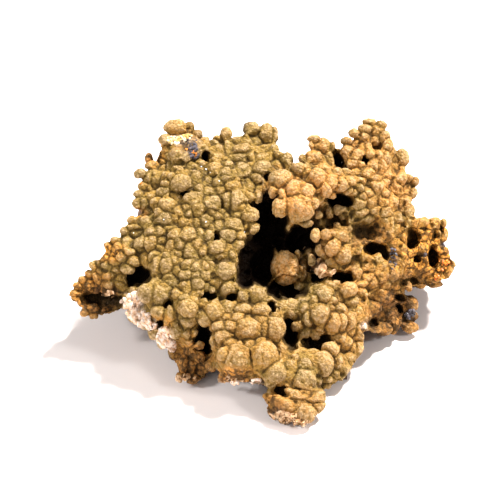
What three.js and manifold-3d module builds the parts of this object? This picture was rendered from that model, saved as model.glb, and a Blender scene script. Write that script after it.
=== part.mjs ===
// A hand-sized mottramite specimen: grape-like lumps of crust on a pitted brown matrix, in one solid.
import * as THREE from "three";
import { mergeVertices } from "three/addons/utils/BufferGeometryUtils.js";
import Module from "manifold-3d";

const wasm = await Module();
wasm.setup();

// Sizes are in millimetres. The specimen is laid out on its show face, which leans back:
// across is +X, up climbs the face, and out points away from it, towards the viewer.
const FACE_TILT = (40 * Math.PI) / 180; // elevation of the show face's normal above the table
const MIDDLE = { x: -0.28, y: 18.96 }; // moves the middle of the footprint to the origin
const LUMP_SPREAD = 1.3; // share by which a lump is wider than its row says, to meet its neighbours
const LUMP_THICKNESS = 0.95; // a lump's depth as a share of its mean radius
const LARGE_LUMP = 2.6; // mean radius from which a lump gets the finer ball
const SMALLEST_LUMP = 1.65; // mean radius below which a lump is only surface detail
const ROUGHNESS = 0.05; // random change of each ball's radius, as a share of it
const FLOOR_BLOCK = 160; // side of the block that cuts the underside flat

// Ground that carries the lumps: a sheet under the crust, thickest in the middle of the outline.
const GROUND = {
  step: 4, // spacing of its points
  recess: 2.2, // how far it lies under the crust
  roughness: 0.5, // random change of its upper side
  backRoughness: 1.8, // and of its underside
  inset: 1.6, // how far its edge stays inside the outline
  thickness: 42,
  rounding: 20, // distance from the edge at which the full thickness is reached
  wing: { from: -27, to: -37, thickness: 9 }, // the left wing is thin
  block: { from: 36, to: 46, thickness: 20 }, // so is the end of the right block
};

// Outline of the show face: [across, up].
const OUTLINE = [
  [-50, -6.2], [-47.6, -1.8], [-43, 1], [-40.5, 5.5], [-35, 11], [-31.8, 15], [-32.5, 18.5], [-31.5, 23],
  [-28.5, 26.8], [-26.5, 31.8], [-24.2, 37.5], [-20.5, 38.2], [-16.8, 35.5], [-14.2, 33.8], [-11, 34.5],
  [-9, 36.5], [-7.2, 34], [-4.2, 36.5], [-1.2, 38], [3.8, 36], [4.5, 32.5], [7.5, 28.5], [9.5, 28],
  [11.8, 31], [12.2, 33.8], [15, 34.8], [18.2, 32.5], [21, 31.2], [23.5, 34.2], [24.8, 36.8],
  [28.2, 38.2], [32.5, 36], [35.2, 30.5], [38.2, 24.2], [39.8, 21], [38.5, 15], [42, 13.8], [45.8, 13.2],
  [47, 6.8], [50.6, 1.8], [48, -2.8], [42, -4.5], [37, -5], [39, -8.2], [39.8, -11.5], [38.2, -15.2],
  [34.5, -14.8], [29.5, -16.5], [26.5, -15.8], [26.5, -20], [20.8, -28.2], [17, -29.5], [14.5, -33.2],
  [11.5, -36.5], [7.8, -38], [4, -36.5], [0, -32.8], [-1.8, -30.2], [0, -29], [-5.5, -28.2],
  [-12.5, -25], [-13.5, -27.5], [-16.8, -28.5], [-20.5, -27], [-22.5, -23.2], [-24.2, -21.5],
  [-22.5, -19], [-28, -16.5], [-33, -13.2], [-34, -10], [-38, -11.5], [-42.5, -12], [-45.5, -10.2],
];

// How far out the crust lies at places on the show face: [across, up, out].
const DEPTHS = [
  // crest
  [-20.5, 34.5, 26], [-9, 33.5, 24], [0.75, 34, 22], [-26, 30, 27], [-15.5, 29, 29.5], [-4.25, 30, 27],
  [4.5, 28, 27.5],
  // upper plate
  [-29, 22.5, 30], [-20.5, 21.75, 33], [-9.25, 22, 32.5], [-1, 23.5, 30.5], [-29.5, 17, 31.5],
  [-24.25, 14.25, 35.5], [-15.5, 14.25, 36], [-6.75, 16.75, 35], [-3.5, 13, 34.5],
  // lower plate
  [-32.5, 10, 33.5], [-27.5, 8, 37], [-19, 6.5, 39], [-10.5, 4.5, 39], [-6.5, 9.5, 37], [-24, 1.5, 40],
  [-16, -1, 42], [-10, -1.5, 41.5], [-27, -5.25, 42], [-18, -9, 44.5], [-12.5, -10, 44.5],
  [-8.5, -4.5, 41.5], [-2.5, -6.5, 41.5], [-2, -9.5, 43.5],
  // left wing and its hollow end
  [-37.5, 1, 34.5], [-41, 1, 32.5], [-33, 3, 36.5], [-36.5, -3, 34], [-44.5, -2, 31.5], [-46, -6.5, 31.5],
  [-43, -10.5, 31.5], [-39.5, -10.75, 32],
  // white fringe
  [-32.25, -8.5, 36.5], [-28.5, -12.5, 38.5], [-24.5, -16.5, 38],
  // front column and the row left of it
  [-24.25, -11, 42.5], [-20.5, -14.5, 42], [-17, -16.5, 40.5], [-10.5, -15.75, 45.5], [-4, -13.75, 45.5],
  [3, -14, 44.5], [-7, -21, 48], [0.75, -20.5, 47.5], [3, -24.25, 47.5], [7, -23.5, 46], [11, -25.5, 46],
  [5, -19, 43.5],
  // bottom lobe
  [6.5, -32.25, 48], [10, -33.75, 48.5], [12.5, -31.5, 47],
  // right ridge
  [4.75, 22, 36.5], [9, 20, 38.5], [9.5, 17, 39.5], [5, 17, 38.5], [9.5, 25, 34.5], [14.5, 23, 36.5],
  [17, 21.5, 36.5], [20.5, 22.5, 35], [19.5, 20, 33.5],
  // horn
  [14, 31.25, 30], [13.5, 28.5, 31], [17, 30, 29.5], [21.5, 31.5, 29], [24, 32.5, 27], [28.5, 34, 26],
  [27, 29, 29], [24, 26.5, 30.5], [31, 27.5, 29.5],
  // upper right shoulder
  [34.5, 28, 25], [34.5, 22.5, 27.5], [28.25, 21.5, 31.5], [24.5, 19.5, 32.5], [30.75, 15.5, 30.5],
  [36, 16.5, 27], [37.5, 21.5, 25],
  // right block
  [31.5, 10.5, 30], [36, 9.5, 27], [42, 9.5, 23.75], [44.5, 8, 22], [40.75, 2.5, 24], [45, 2, 22],
  [35, 3, 27.5], [31, 0.5, 29.5], [26, 1.25, 30.5], [24.5, 0, 31], [41, -2.25, 21.5],
  // small lumps under the ridge, centre cluster and the lobe in the cavity
  [18.5, 14.5, 31.5], [15.5, 8, 35], [19.5, 5.5, 34.5], [16, 3, 33], [10, 5.5, 29], [5.75, 0.75, 30],
  [9.75, -1.5, 30],
  // lower middle
  [7.5, -9.25, 38.5], [11, -9.5, 39], [15.5, -6.75, 38.5], [14.5, -10.25, 40], [21, -4.5, 36.5],
  [22, -7.5, 36], [19.5, -9.5, 37.5], [18.75, -12.5, 39.5], [21.75, -12.5, 37], [24.75, -5.75, 32],
  [11, -14.75, 38], [20, -16.75, 37.5], [23.5, -16.5, 35], [21.75, -19, 36], [17, -19.5, 40],
  [15, -22.5, 42], [18, -22.5, 39], [16, -26.75, 39],
  // bare matrix: right foot, left foot
  [29, -6.5, 28.5], [32, -10.75, 24.5], [37, -10.5, 21.5], [36, -5, 25], [-19.25, -22.5, 37.5],
  [-15.5, -21.5, 37.5], [-17, -25, 36.5], [-21.5, -19.5, 35],
];

// Lumps of the show face: [across, up, radius across, radius up, lift].
const LUMPS = [
  // crest
  [-21.75, 36.5, 3, 2], [-18.75, 36.5, 1.75, 1.5, -1.5], [-21.5, 37.5, 2, 1, -1.5],
  [-16.5, 34.5, 1.5, 1.5, -2.5], [-24.5, 33.25, 1.5, 1.5, 1], [-26.5, 32.75, 0.75, 1, -1.5],
  [-24.25, 31.25, 0.75, 1.25], [-20.5, 33.5, 3.25, 1.75], [-21.5, 31.25, 1.75, 1, 1],
  [-17.5, 31.25, 1.75, 2.25], [-21, 29, 2, 2, 2.5], [-23.5, 28.75, 1, 1.5], [-27.75, 26.75, 1.75, 1.25],
  [-28.5, 28.5, 1, 1.5, -2], [-24.75, 27.25, 1, 1], [-24.75, 26, 1.25, 1], [-23, 26.5, 1, 1.25],
  [-21, 25.75, 1.5, 1], [-17.5, 26.25, 1.75, 1], [-15.25, 27, 1.25, 1], [-14.25, 32.5, 1.5, 1.5, -2],
  [-12.5, 32.25, 2, 1.25, -1], [-9, 35, 1.5, 1.75, -0.5], [-11.25, 33.75, 1.25, 1, -1],
  [-11.25, 30.5, 2, 2], [-8.5, 30.5, 1.5, 2.25, 0.5], [-10.75, 28.75, 1.25, 1.25, 1],
  [-5.5, 30.75, 1.75, 1.25], [-5.5, 28.75, 1.75, 1.5, 0.5], [-2.75, 28.75, 1.25, 1.25],
  [-5.5, 33, 2.25, 1.25, -1.5], [-2, 32.5, 1.75, 1.5, -1.5], [-2.5, 36.25, 2.25, 1.75, -0.5],
  [1, 35.25, 2.25, 2.25], [3.25, 34.75, 1, 2.25, -1], [1, 31.25, 2.5, 1], [3, 31.25, 1.25, 1],
  [0.5, 28.75, 2, 1.25], [4.75, 29.5, 1.5, 1], [6.25, 28.25, 1.75, 2], [0.25, 26.25, 2.25, 1.75, 1],
  [4, 26.5, 1.5, 1.5], [-3, 26.5, 1.5, 1.25], [-5, 25.25, 2.25, 2.25, 0.5], [-7.25, 25, 1, 1],
  [-8.5, 26.5, 1.75, 1.5], [-11.75, 25.5, 2, 2, 0.5],
  // upper plate, right half
  [-9, 24.75, 1.75, 1.5], [-1.25, 23.25, 1.5, 1.5, 0.5], [0.75, 22.25, 1, 1, -1],
  [-3.5, 21.25, 1.75, 1.75], [-0.75, 20.5, 1.5, 1.5], [-2.75, 18.75, 1.5, 1.25], [-1, 18.75, 1.25, 1.75],
  [-1.25, 17, 1, 0.75, -1], [-11, 22.25, 2, 1.5], [-7.5, 21.5, 1.75, 1.5, 0.5], [-9, 23.25, 1.5, 1],
  [-10.5, 20.5, 2, 1.25], [-12.25, 17.25, 2, 1.75, 0.5], [-8.25, 17.75, 1.75, 2], [-6.25, 18, 2, 2.5, 0.5],
  [-5.25, 16.5, 1.25, 1.25], [-10, 15, 1, 1], [-12.75, 14.75, 1, 1], [-11, 13.75, 1.25, 1],
  [-8.75, 14, 1, 1], [-6.75, 14.25, 2, 1], [-3, 14.25, 2.25, 2, 1], [-2.5, 11.25, 1.75, 1.75],
  [-4.25, 11.5, 1.25, 1.25], [-7.25, 11.75, 2.25, 1.5], [-10.75, 11.25, 1.5, 1.5],
  [-8.5, 9, 1.75, 1.5, 0.5], [-5.5, 9, 1.25, 1], [-6, 6.75, 1.75, 1.25], [-11.25, 6, 2, 1.75, 0.5],
  [-9, 4.75, 1.75, 1.75], [-10.25, 4, 1.5, 1, 0.5], [-7.75, 4.5, 1, 1.25], [-9.5, 0.5, 2, 2, 0.5],
  [-12.25, -1, 1.25, 1.25], [-14.25, -1, 1.5, 1.25], [-12.5, 1.25, 1.25, 1.25], [-14.25, 1.25, 1.25, 1.25],
  [-13, 3.25, 1.5, 1], [-14.75, 5.5, 1.25, 1.25], [-13.75, 8.75, 1.75, 1.5], [-12.5, 11, 0.75, 1],
  [-14, 12.75, 1.75, 1.75, 0.5],
  // plate, left half
  [-30.5, 24.75, 1.75, 1.25], [-28.5, 24, 1.5, 1.5], [-26.5, 23.75, 1.5, 1.75], [-24.25, 24, 1, 1.25],
  [-22.5, 24, 1, 1.25], [-20, 24.5, 2, 1.25], [-20, 22.25, 2, 2, 1.5], [-16.75, 23.5, 1.75, 2],
  [-17.25, 21.5, 1.25, 1.25], [-15.75, 20.75, 1.25, 1.25, 0.5], [-13.5, 22.25, 1.5, 1.5],
  [-15.75, 25, 1.5, 1.25], [-13.75, 24.75, 1.25, 1], [-29.75, 21.25, 1.5, 1.25], [-28.25, 20.75, 1, 1],
  [-26.75, 21.25, 1, 1], [-24, 22, 1.5, 1.25], [-24.75, 20.25, 1.75, 1.25, 0.5], [-13.5, 19.75, 1.75, 1.5],
  [-31, 19.5, 1.25, 1.25], [-27.5, 18.75, 2, 1.5], [-21.5, 18.5, 1.75, 1], [-17.5, 18, 2.25, 2, 0.5],
  [-31.25, 17.25, 1.25, 1.5], [-29.25, 17.25, 1.5, 1.75], [-26.25, 17.25, 1.75, 1.5],
  [-23.75, 16.75, 2, 1.75], [-28.25, 14.75, 1.25, 1.25], [-26, 15, 1, 1.25], [-21, 15, 1.5, 1.5],
  [-18.75, 16, 1.5, 1.25], [-18.25, 14.5, 1, 1, 0.5], [-16, 15.25, 1.75, 1.75], [-24.25, 13, 2, 1.75, 0.5],
  [-22, 13.5, 1.5, 1.5], [-18.75, 12.5, 1.75, 1.25], [-16.25, 12.25, 1.25, 1.25], [-28.75, 12.5, 2, 1.5],
  [-32.5, 12.75, 1.5, 1.25], [-32, 11.25, 2.25, 1.25], [-34, 10.25, 1.5, 1.5], [-31.25, 9.75, 2.25, 1.5],
  [-27.5, 10, 1.5, 1.25], [-25.75, 10, 1.5, 1.5], [-23.5, 11, 2, 0.75], [-21.75, 9.25, 1.75, 1.5, 0.5],
  [-18.25, 9.25, 2, 1.75], [-15.5, 9.25, 1.5, 1.5], [-33.75, 7, 1.5, 1.75], [-30.5, 7, 1.75, 1.75, 0.5],
  [-27.75, 7.25, 1.5, 2], [-25, 7.5, 1.5, 1.5], [-25.25, 5.75, 1.25, 1.25], [-22.75, 6.5, 1.25, 1.5],
  [-20.5, 6.75, 1.5, 1.5], [-16.25, 6.75, 1.5, 1.5], [-18, 4.75, 1.75, 2.25, 0.5],
  [-21.25, 4.5, 1.5, 1.25], [-26.75, 4, 1.5, 1.25], [-24, 4, 1, 1], [-36, 6, 1.25, 1.5], [-33, 5, 1.5, 1],
  [-32, 2.75, 1.5, 1.5], [-29.25, 3.25, 1.25, 1.5], [-34.75, 3.75, 1.5, 1.25], [-26, 1.75, 1.5, 2.25],
  [-23.75, 1.75, 2, 2, 0.5], [-22, 2.5, 1.25, 1.5], [-20.5, 2.5, 1.25, 1], [-18.5, 1.5, 1.75, 1.5],
  [-16.25, 1, 1.5, 1.5], [-21, 0.5, 1.75, 1.5], [-33.5, 0.75, 1.75, 1.25], [-25.5, -1, 1.25, 1.25, -1],
  [-23, -1.5, 1.5, 1.25], [-18.75, -0.75, 1.75, 1.25], [-16.25, -1, 1.25, 1.25],
  // lower plate
  [-16, -3, 1.5, 1.5, 0.5], [-18.75, -3.75, 1.75, 1.5], [-22.25, -2.75, 2, 1.25],
  [-21.25, -5.5, 1.5, 1.25], [-16, -5.25, 1.5, 1.25], [-14.25, -3.75, 1.25, 1.25], [-12.5, -4.25, 1, 1],
  [-11.5, -2.5, 1.75, 1.5], [-8.75, -4, 1.5, 1.5], [-19.25, -6.25, 1.25, 0.75], [-17, -7.25, 1.5, 1],
  [-14.5, -7.75, 1.5, 1.25], [-18.5, -9, 2, 2, 1], [-18.25, -11.75, 2, 1.75, 0.5],
  [-21, -8.5, 1.25, 1.75, -1], [-12.25, -9.75, 2.25, 2.25], [-14.25, -11.5, 1.75, 2], [-8.5, -9, 1.5, 2],
  [-8.75, -11.25, 1.25, 1], [-28.25, -5.25, 2.75, 2.5], [-25.5, -5.5, 2.5, 2.5, 0.5],
  [-24.75, -3.5, 1.25, 1], [-25.75, -9.75, 2, 1.5], [-29, -9.75, 1.5, 1.5, -1], [-22.75, -10.25, 1.5, 2],
  [-21.75, -14, 1.5, 2.5], [-23.75, -12.75, 0.75, 1.5], [-17.25, -15, 1.25, 1], [-19, -15.5, 1.25, 1],
  [-18.75, -17.5, 1.75, 0.75], [-15.5, -18.25, 1.25, 1.25],
  // front column
  [-10.75, -13.5, 1.5, 1.25], [-10, -16.25, 2, 1.75], [-12, -16.75, 1, 1.5], [-8, -13.5, 1.75, 1.25],
  [-6, -11.25, 1.5, 1], [-4.75, -9.25, 2, 1.25], [0, -9.5, 2.25, 1.5, 0.5], [-1.5, -5.5, 2.25, 2],
  [-4.25, -6, 1.25, 1.25], [-3.25, -13.75, 2.5, 2.25, 0.5], [-0.75, -12, 2, 1.25],
  [3.5, -14, 2.25, 2.5, 0.5], [1, -14.25, 1.75, 2], [3, -10.75, 1.25, 1], [-5.5, -17.5, 1, 0.75],
  [-3.25, -18, 1.5, 1.25], [-8, -17.75, 1.75, 1.25], [-6.5, -21.75, 3, 3.25], [-9, -20.5, 2, 2],
  [0.75, -20.5, 3, 3.25, 0.5], [3.5, -24.75, 2.5, 2.5], [0.25, -25.25, 2.5, 1.5, -2],
  [7, -24.25, 1.75, 3.25], [4.75, -19.5, 1.25, 2.25], [10.5, -23.25, 1.75, 2], [8, -21.25, 1.25, 1.25],
  [10.75, -26.75, 2.5, 2.5, 0.5], [13.5, -26.75, 1.5, 1.75], [-7.5, -25.75, 3, 1.5, -3],
  // bottom lobe
  [4.75, -32.25, 2, 1.75], [6.75, -33.5, 2.5, 2.25], [10, -34.75, 2.25, 2.25, 0.5], [13, -32, 2.25, 2.75],
  [9.25, -31.25, 2, 1.25], [6.75, -30.25, 1, 1.25], [12.25, -30.25, 1.75, 1], [2.5, -33.75, 1.75, 1, -0.5],
  [5.75, -36.5, 1.75, 1, -1.5], [9.5, -36.75, 2, 1, -1.5],
  // right ridge
  [4.75, 23, 3, 2.5], [2.75, 20.25, 1.25, 1.75], [5, 19, 1, 2], [4.75, 16, 2.25, 2.5],
  [9.5, 16, 3.5, 3.25], [12.75, 17, 1.5, 1.75], [8.5, 20.5, 2.5, 2.5], [11, 20, 2, 2.25, 0.5],
  [8, 12.25, 0.75, 1], [11, 12.25, 1.75, 1, -1], [2.75, 15, 0.75, 1.25], [3.25, 13.5, 1, 0.75],
  [9.5, 26, 1.75, 1.5], [11.5, 24.75, 1.25, 1.25], [11.5, 26.75, 0.75, 1], [14, 23.75, 2.25, 2.25],
  [15.5, 25.25, 2, 1.5], [16, 20.75, 1.5, 2], [14, 20.25, 1, 0.75], [17, 22.5, 1.75, 1.75],
  [18.5, 25, 1.5, 1.25], [21, 25, 1.5, 1], [19.75, 21.75, 2, 1.75], [17.5, 19.25, 1.25, 1],
  [22, 22.75, 1.5, 1.25], [21.25, 20.5, 1.5, 1.25],
  // horn
  [13.25, 33.25, 1.75, 1.25], [15.25, 31.75, 2.25, 2], [12.5, 32, 1, 1.5], [17.75, 31.5, 1, 1.5],
  [13, 29, 2.25, 1.5], [16.75, 29.25, 1.25, 1.5], [10.25, 28.5, 1.25, 1.25, -1], [19.25, 31.5, 0.75, 1],
  [21.25, 32.75, 1.5, 1.25], [21.25, 30.5, 1.5, 1.75, 0.5], [20.5, 28.75, 0.75, 1, -0.5],
  [23.5, 32, 1.25, 1.25], [24, 29.25, 1.5, 1.5, 0.5], [25.25, 31.25, 1.25, 1.25], [23.25, 35, 1.25, 1.25],
  [25.75, 34, 1.25, 1.25], [26, 36, 1.75, 1.25], [29, 35.5, 2.25, 1.75], [31, 34, 1.5, 1.75],
  [27.25, 37.75, 1.75, 1, -1], [30, 36.75, 1.75, 1.5, -1], [27, 31.75, 1, 1], [28.75, 33.25, 1.25, 1.5],
  [27.25, 29.25, 1.25, 1.25], [28, 27, 1.5, 1.5, 0.5], [29.75, 29.25, 1, 1.25], [22.75, 27, 1.5, 1],
  [25, 26.75, 1, 1.25], [23.75, 25.25, 1.25, 1], [26.5, 24.75, 1.5, 1.25], [28.5, 23.5, 1, 1],
  [24.5, 22.75, 1.25, 1], [24.5, 21.25, 1, 1], [22.5, 20, 1.25, 1], [28.5, 21.5, 1.25, 1.5],
  [26.75, 20, 1.25, 1], [25.25, 18.75, 1, 1],
  // upper right shoulder
  [32, 32.25, 1.25, 1.25], [33, 30.5, 1, 1], [31.5, 28.5, 1, 1.25], [35.5, 28.75, 1.75, 2.25],
  [33.75, 28.25, 1, 1], [35.25, 26, 1.25, 1], [33.5, 26.5, 1, 0.75], [37.75, 25.5, 0.75, 0.75],
  [37.25, 24, 1, 1], [38.75, 22.75, 1, 1.25], [30.25, 26.75, 1.25, 1.5], [31.5, 24.5, 1.25, 1.25],
  [33, 24, 1, 1.25], [35.25, 23.5, 1.25, 1.25], [31.25, 22.5, 1, 1], [33.75, 21, 1.25, 1.5],
  [31, 19.75, 1.25, 1], [36.5, 20.75, 1.25, 1.25], [38.5, 20, 1, 1.25], [37, 15.75, 1.5, 2],
  [39, 17.75, 0.75, 1], [35, 17.25, 1.25, 1.25], [32.75, 17.5, 1.5, 1.5], [30, 18, 1.5, 1.25],
  [27.25, 17.5, 1.5, 1.25], [24.5, 17.25, 1.5, 1.25], [28.25, 15.5, 1.25, 1.25], [25.25, 15, 1.25, 1],
  [26.5, 13.5, 1.25, 1], [31.25, 11.5, 1.5, 2], [34, 13.5, 1.5, 1.25], [33.75, 11, 1.25, 1.25],
  [31, 15, 1.25, 1],
  // right block
  [37, 12.5, 1.5, 1], [40.5, 12.5, 1.75, 1.25], [43.75, 12.5, 2, 1.25], [46, 12.5, 1, 1.25],
  [35.25, 9, 1.5, 1.25], [40, 9.75, 1.75, 1.5], [43.5, 9.5, 1.75, 1.5], [46.25, 9.25, 1, 2],
  [33, 6.75, 1.25, 1.25], [34.75, 5.5, 1.25, 1.25], [37.5, 4.5, 1.5, 1], [40.5, 5.5, 1.5, 1.5],
  [46.25, 5, 1.25, 1.75], [33.25, 3, 1.25, 1.25], [37.5, 2.5, 1.5, 1.25], [41, 2.25, 1.5, 1.75],
  [43.75, 2, 1.25, 1, -0.5], [46, 2.25, 1.5, 1.5], [47.75, 1, 1, 1.5], [35.75, 0, 2, 1, -0.5],
  [40.75, -1, 2, 0.75, -1], [44.75, -0.75, 2.25, 1, -1], [43.75, -3.25, 2.25, 1, -2],
  [40.5, -3, 1.75, 1.25, -1.5], [37.25, -3.75, 1, 1.25],
  // centre cluster, small lumps above it and the lobe in the cavity
  [13.5, 9, 1.25, 1.75], [16, 9.25, 1.5, 1.5], [17.75, 9.75, 0.75, 0.75], [20, 8.75, 1.5, 1.25],
  [14.75, 5.5, 1.5, 1.5], [17.75, 6, 2, 2, 0.5], [20.25, 4.25, 2, 2], [18, 2.5, 2, 1.25, -1],
  [15.5, 0.25, 1.75, 1, -0.5], [10.75, 6.5, 1, 1], [9, 4, 1, 1.5], [12.5, 3, 1, 1.5],
  [12.75, 1.25, 1.25, 0.75], [17, 14.75, 1, 1.5], [19, 15.5, 1.25, 1.25], [14.25, 14.25, 1, 1],
  [15.5, 16, 1, 0.75], [20.25, 14, 1, 1, -1], [18.75, 11.5, 1, 1, -1], [5.75, 2.5, 3, 2.25],
  [6, -0.75, 3, 2.25], [4.5, -2.5, 1.5, 1.25, -1], [10.25, -1, 1.25, 1.75], [9.5, 0.75, 1, 1.25],
  [9.5, -3, 1.75, 1],
  // cluster at the right of the cavity
  [23.75, 0, 1.25, 2], [26, 1.25, 1.5, 1.25], [25.75, 3.25, 1.5, 1], [29, 3.5, 1.25, 1.25],
  [26.25, -1.5, 1.25, 1.25], [25.25, -3, 1.25, 0.75], [27.75, -2.5, 1, 1], [30.5, -0.25, 1.5, 1.75],
  [33, -0.5, 1.5, 1.75], [33.5, -3, 1, 1], [31.25, -3, 1.25, 1],
  // lower middle
  [7.25, -9.25, 2.5, 2.5], [10.5, -6.75, 1.5, 0.75, -0.5], [10.25, -9, 1.25, 1.25], [11.5, -11.5, 1.25, 2],
  [13.25, -7, 1.25, 1.25], [15.75, -6, 2, 1.75], [17.25, -7, 1.5, 1.25], [14.5, -10.5, 2.25, 2.25, 0.5],
  [17.25, -9.25, 1, 1.25], [19.25, -6.5, 1, 1.5, -0.5], [19.5, -9.5, 1.5, 1.5],
  [18, -12.5, 1.75, 2.25, 0.5], [20, -12.5, 1.25, 2], [21.75, -12.25, 1.25, 1.75],
  [18.5, -3.25, 1.25, 1.25], [21.75, -4.5, 2, 2], [20.5, -1.5, 1, 0.75, -1], [22.5, -7.25, 1.75, 1.5],
  [24, -9, 0.75, 1.5, -0.5], [24.5, -5, 1.25, 1], [9, -13.5, 1.75, 1.5], [11, -15, 2, 1.5],
  [13.25, -15.5, 1.5, 1.5], [14.25, -14.25, 1, 0.75], [15.75, -14, 1, 1.25, -1.5],
  [19.5, -16.5, 1.5, 1.25], [21.25, -17.75, 1.5, 1.75], [22, -15.25, 1.25, 1.25], [23.75, -16, 1.5, 2],
  [24.25, -19, 1, 1.5], [22.5, -19, 1.25, 1.5], [21.75, -20.75, 1.25, 1], [17, -19.5, 2.25, 2],
  [18.5, -22.25, 1.5, 2.25], [15, -22.75, 2.75, 3, 0.5], [13, -20, 2, 1], [16.25, -26.5, 1.25, 1],
  [18.25, -25, 1, 1], [16.25, -28.25, 1.25, 1, -1],
  // left wing, its rust edge and the rim of its hollow end
  [-36.75, 2.5, 1.75, 1], [-38.5, 1.5, 1.75, 1.25], [-41, 2.25, 1.25, 1], [-42.25, 1.75, 1, 1.25],
  [-40.5, 0.25, 1, 1], [-39.25, 3.25, 1.25, 0.75], [-38.75, -1, 1.25, 1.25], [-37.25, -0.5, 1.25, 1],
  [-35.5, -1.25, 1.5, 1.25], [-36.25, 0.5, 1.25, 1], [-38.25, -3.25, 1.5, 1.25], [-36, -3, 1.25, 1.25],
  [-33.5, -1.5, 1.25, 0.75], [-41.25, -1.25, 1, 1.25], [-36.75, 8, 1.5, 1, -0.5],
  [-38.5, 6.5, 1.25, 1.25, -0.5], [-40.25, 4.75, 1.5, 0.75, -0.5], [-42, 3.5, 1, 0.75, -0.5],
  [-43.5, -0.5, 1, 1], [-45, -2, 1.25, 1], [-46.5, -3.5, 1, 1], [-47.25, -5.25, 1, 1],
  [-47.25, -7, 0.75, 1], [-46.25, -8.75, 0.75, 1], [-44.5, -10.25, 1.25, 1], [-42.25, -11, 1.25, 1],
  [-39.75, -11, 1.25, 0.75], [-37.25, -10.5, 0.75, 0.5], [-43.5, -3, 1.25, 1.25], [-42.5, -9, 1.5, 1.25],
  [-39.75, -8.75, 0.75, 1], [-41.75, -4.75, 1.25, 1, -1], [-39.25, -4.5, 1.25, 1, -0.5],
  [-37.5, -5.75, 1.5, 0.75],
  // white fringe
  [-32.5, -7, 1.5, 1.5], [-34.75, -7.25, 1, 0.75], [-32.25, -10.75, 1.5, 2], [-29, -13, 1.75, 1.25],
  [-26.5, -15.5, 1.75, 1.5], [-24.5, -17.5, 1.75, 1.75], [-23.25, -15.5, 1.25, 1.5],
  // right foot and left foot, bare matrix
  [29.5, -6.5, 3, 1.5], [27.5, -9, 2.5, 1.5], [31.5, -10.75, 3, 2.75], [33.25, -13.25, 1.5, 2.5],
  [37.5, -8.25, 2, 2.25], [37.25, -11.25, 2.25, 1.75], [37.5, -14, 2, 1.5],
  [30.75, -14.5, 2.25, 1.5, -0.5], [-19.75, -23.25, 1.25, 2], [-17.75, -23.5, 1.25, 2],
  [-20, -26, 1.5, 1.25], [-17.5, -26.75, 1.75, 1.25], [-15, -24, 1.75, 1.75, -1],
  [-15.5, -20.75, 1.75, 1.25], [-12.5, -23.25, 1.5, 1.5], [-20, -19.5, 1.5, 1.75], [-22.5, -20, 1, 2, -2],
  [-23, -22.75, 1.25, 1.75, -4],
];

// Hollows of the show face, cut out of the ground: [across, up, out, radius across, radius up, radius out].
const HOLLOWS = [
  // the open middle
  [2, 9, 38, 6, 12, 19], [11, 6, 38, 6, 6, 15],
  // under the ridge, and beside the right block
  [19.5, 16.5, 36, 4.5, 2.5, 9], [26.5, 8, 34, 5, 4, 8],
  // the hollow left end, and the large hole above the fringe
  [-42, -6.5, 33, 3.5, 3, 4], [-31, -1, 42, 3, 3, 6],
  // between the front column and the left foot
  [-14.5, -18.5, 46, 2.5, 4, 7],
];

// Parts that stand in the hollows, and feet: [across, up, out, radius across, radius up, radius out].
const PILLARS = [
  [6, 0.5, 19, 3.4, 3.6, 10.5], [17.5, 6, 23, 5, 5, 10.5], [8, 18.5, 27, 5, 5, 11],
];

// Lumps scattered over the back.
const BACK = { seed: 7, tries: 400, count: 12, minRadius: 2.5, maxRadius: 5 };

// Repeatable random numbers between 0 and 1.
function randomFrom(seed) {
  let state = seed;
  return () => {
    state = (state * 1664525 + 1013904223) % 4294967296;
    return state / 4294967296;
  };
}
const random = randomFrom(21);

// A closed mesh as a solid that can be joined and cut.
function solid(geometry) {
  geometry.deleteAttribute("normal");
  geometry.deleteAttribute("uv");
  const merged = mergeVertices(geometry, 1e-4);
  return new wasm.Manifold(
    new wasm.Mesh({
      numProp: 3,
      vertProperties: merged.attributes.position.array,
      triVerts: new Uint32Array(merged.index.array),
    }),
  );
}

const faceTurn = new THREE.Matrix4().makeRotationX(Math.PI / 2 - FACE_TILT);
const shift = new THREE.Vector3(MIDDLE.x, MIDDLE.y, 0);

// A point of the show face in the specimen's own axes.
function fromFace(across, up, out) {
  return new THREE.Vector3(across, up, out).applyMatrix4(faceTurn).add(shift);
}

// A rough ball, stretched along the axes of `turn` and set down at `centre`.
function ball(centre, radii, detail, turn) {
  const geometry = new THREE.IcosahedronGeometry(1, detail);
  geometry.deleteAttribute("normal");
  geometry.deleteAttribute("uv");
  const merged = mergeVertices(geometry, 1e-4);
  const position = merged.attributes.position;
  const spin = new THREE.Matrix4().makeRotationFromEuler(
    new THREE.Euler(random() * 6.28, random() * 6.28, random() * 6.28),
  );
  const point = new THREE.Vector3();
  for (let i = 0; i < position.count; i++) {
    point.fromBufferAttribute(position, i).applyMatrix4(spin);
    point.multiplyScalar(1 + ROUGHNESS * (2 * random() - 1));
    point.set(point.x * radii[0], point.y * radii[1], point.z * radii[2]);
    if (turn) point.applyMatrix4(turn);
    point.add(centre);
    position.setXYZ(i, point.x, point.y, point.z);
  }
  return solid(merged);
}

// How far out the crust lies at a place on the show face: the nearest depths weigh most.
function faceDepth(across, up) {
  let total = 0;
  let weights = 0;
  for (const [a, u, out] of DEPTHS) {
    const weight = 1 / (0.5 + (a - across) ** 2 + (u - up) ** 2) ** 2;
    total += weight * out;
    weights += weight;
  }
  return total / weights;
}

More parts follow.
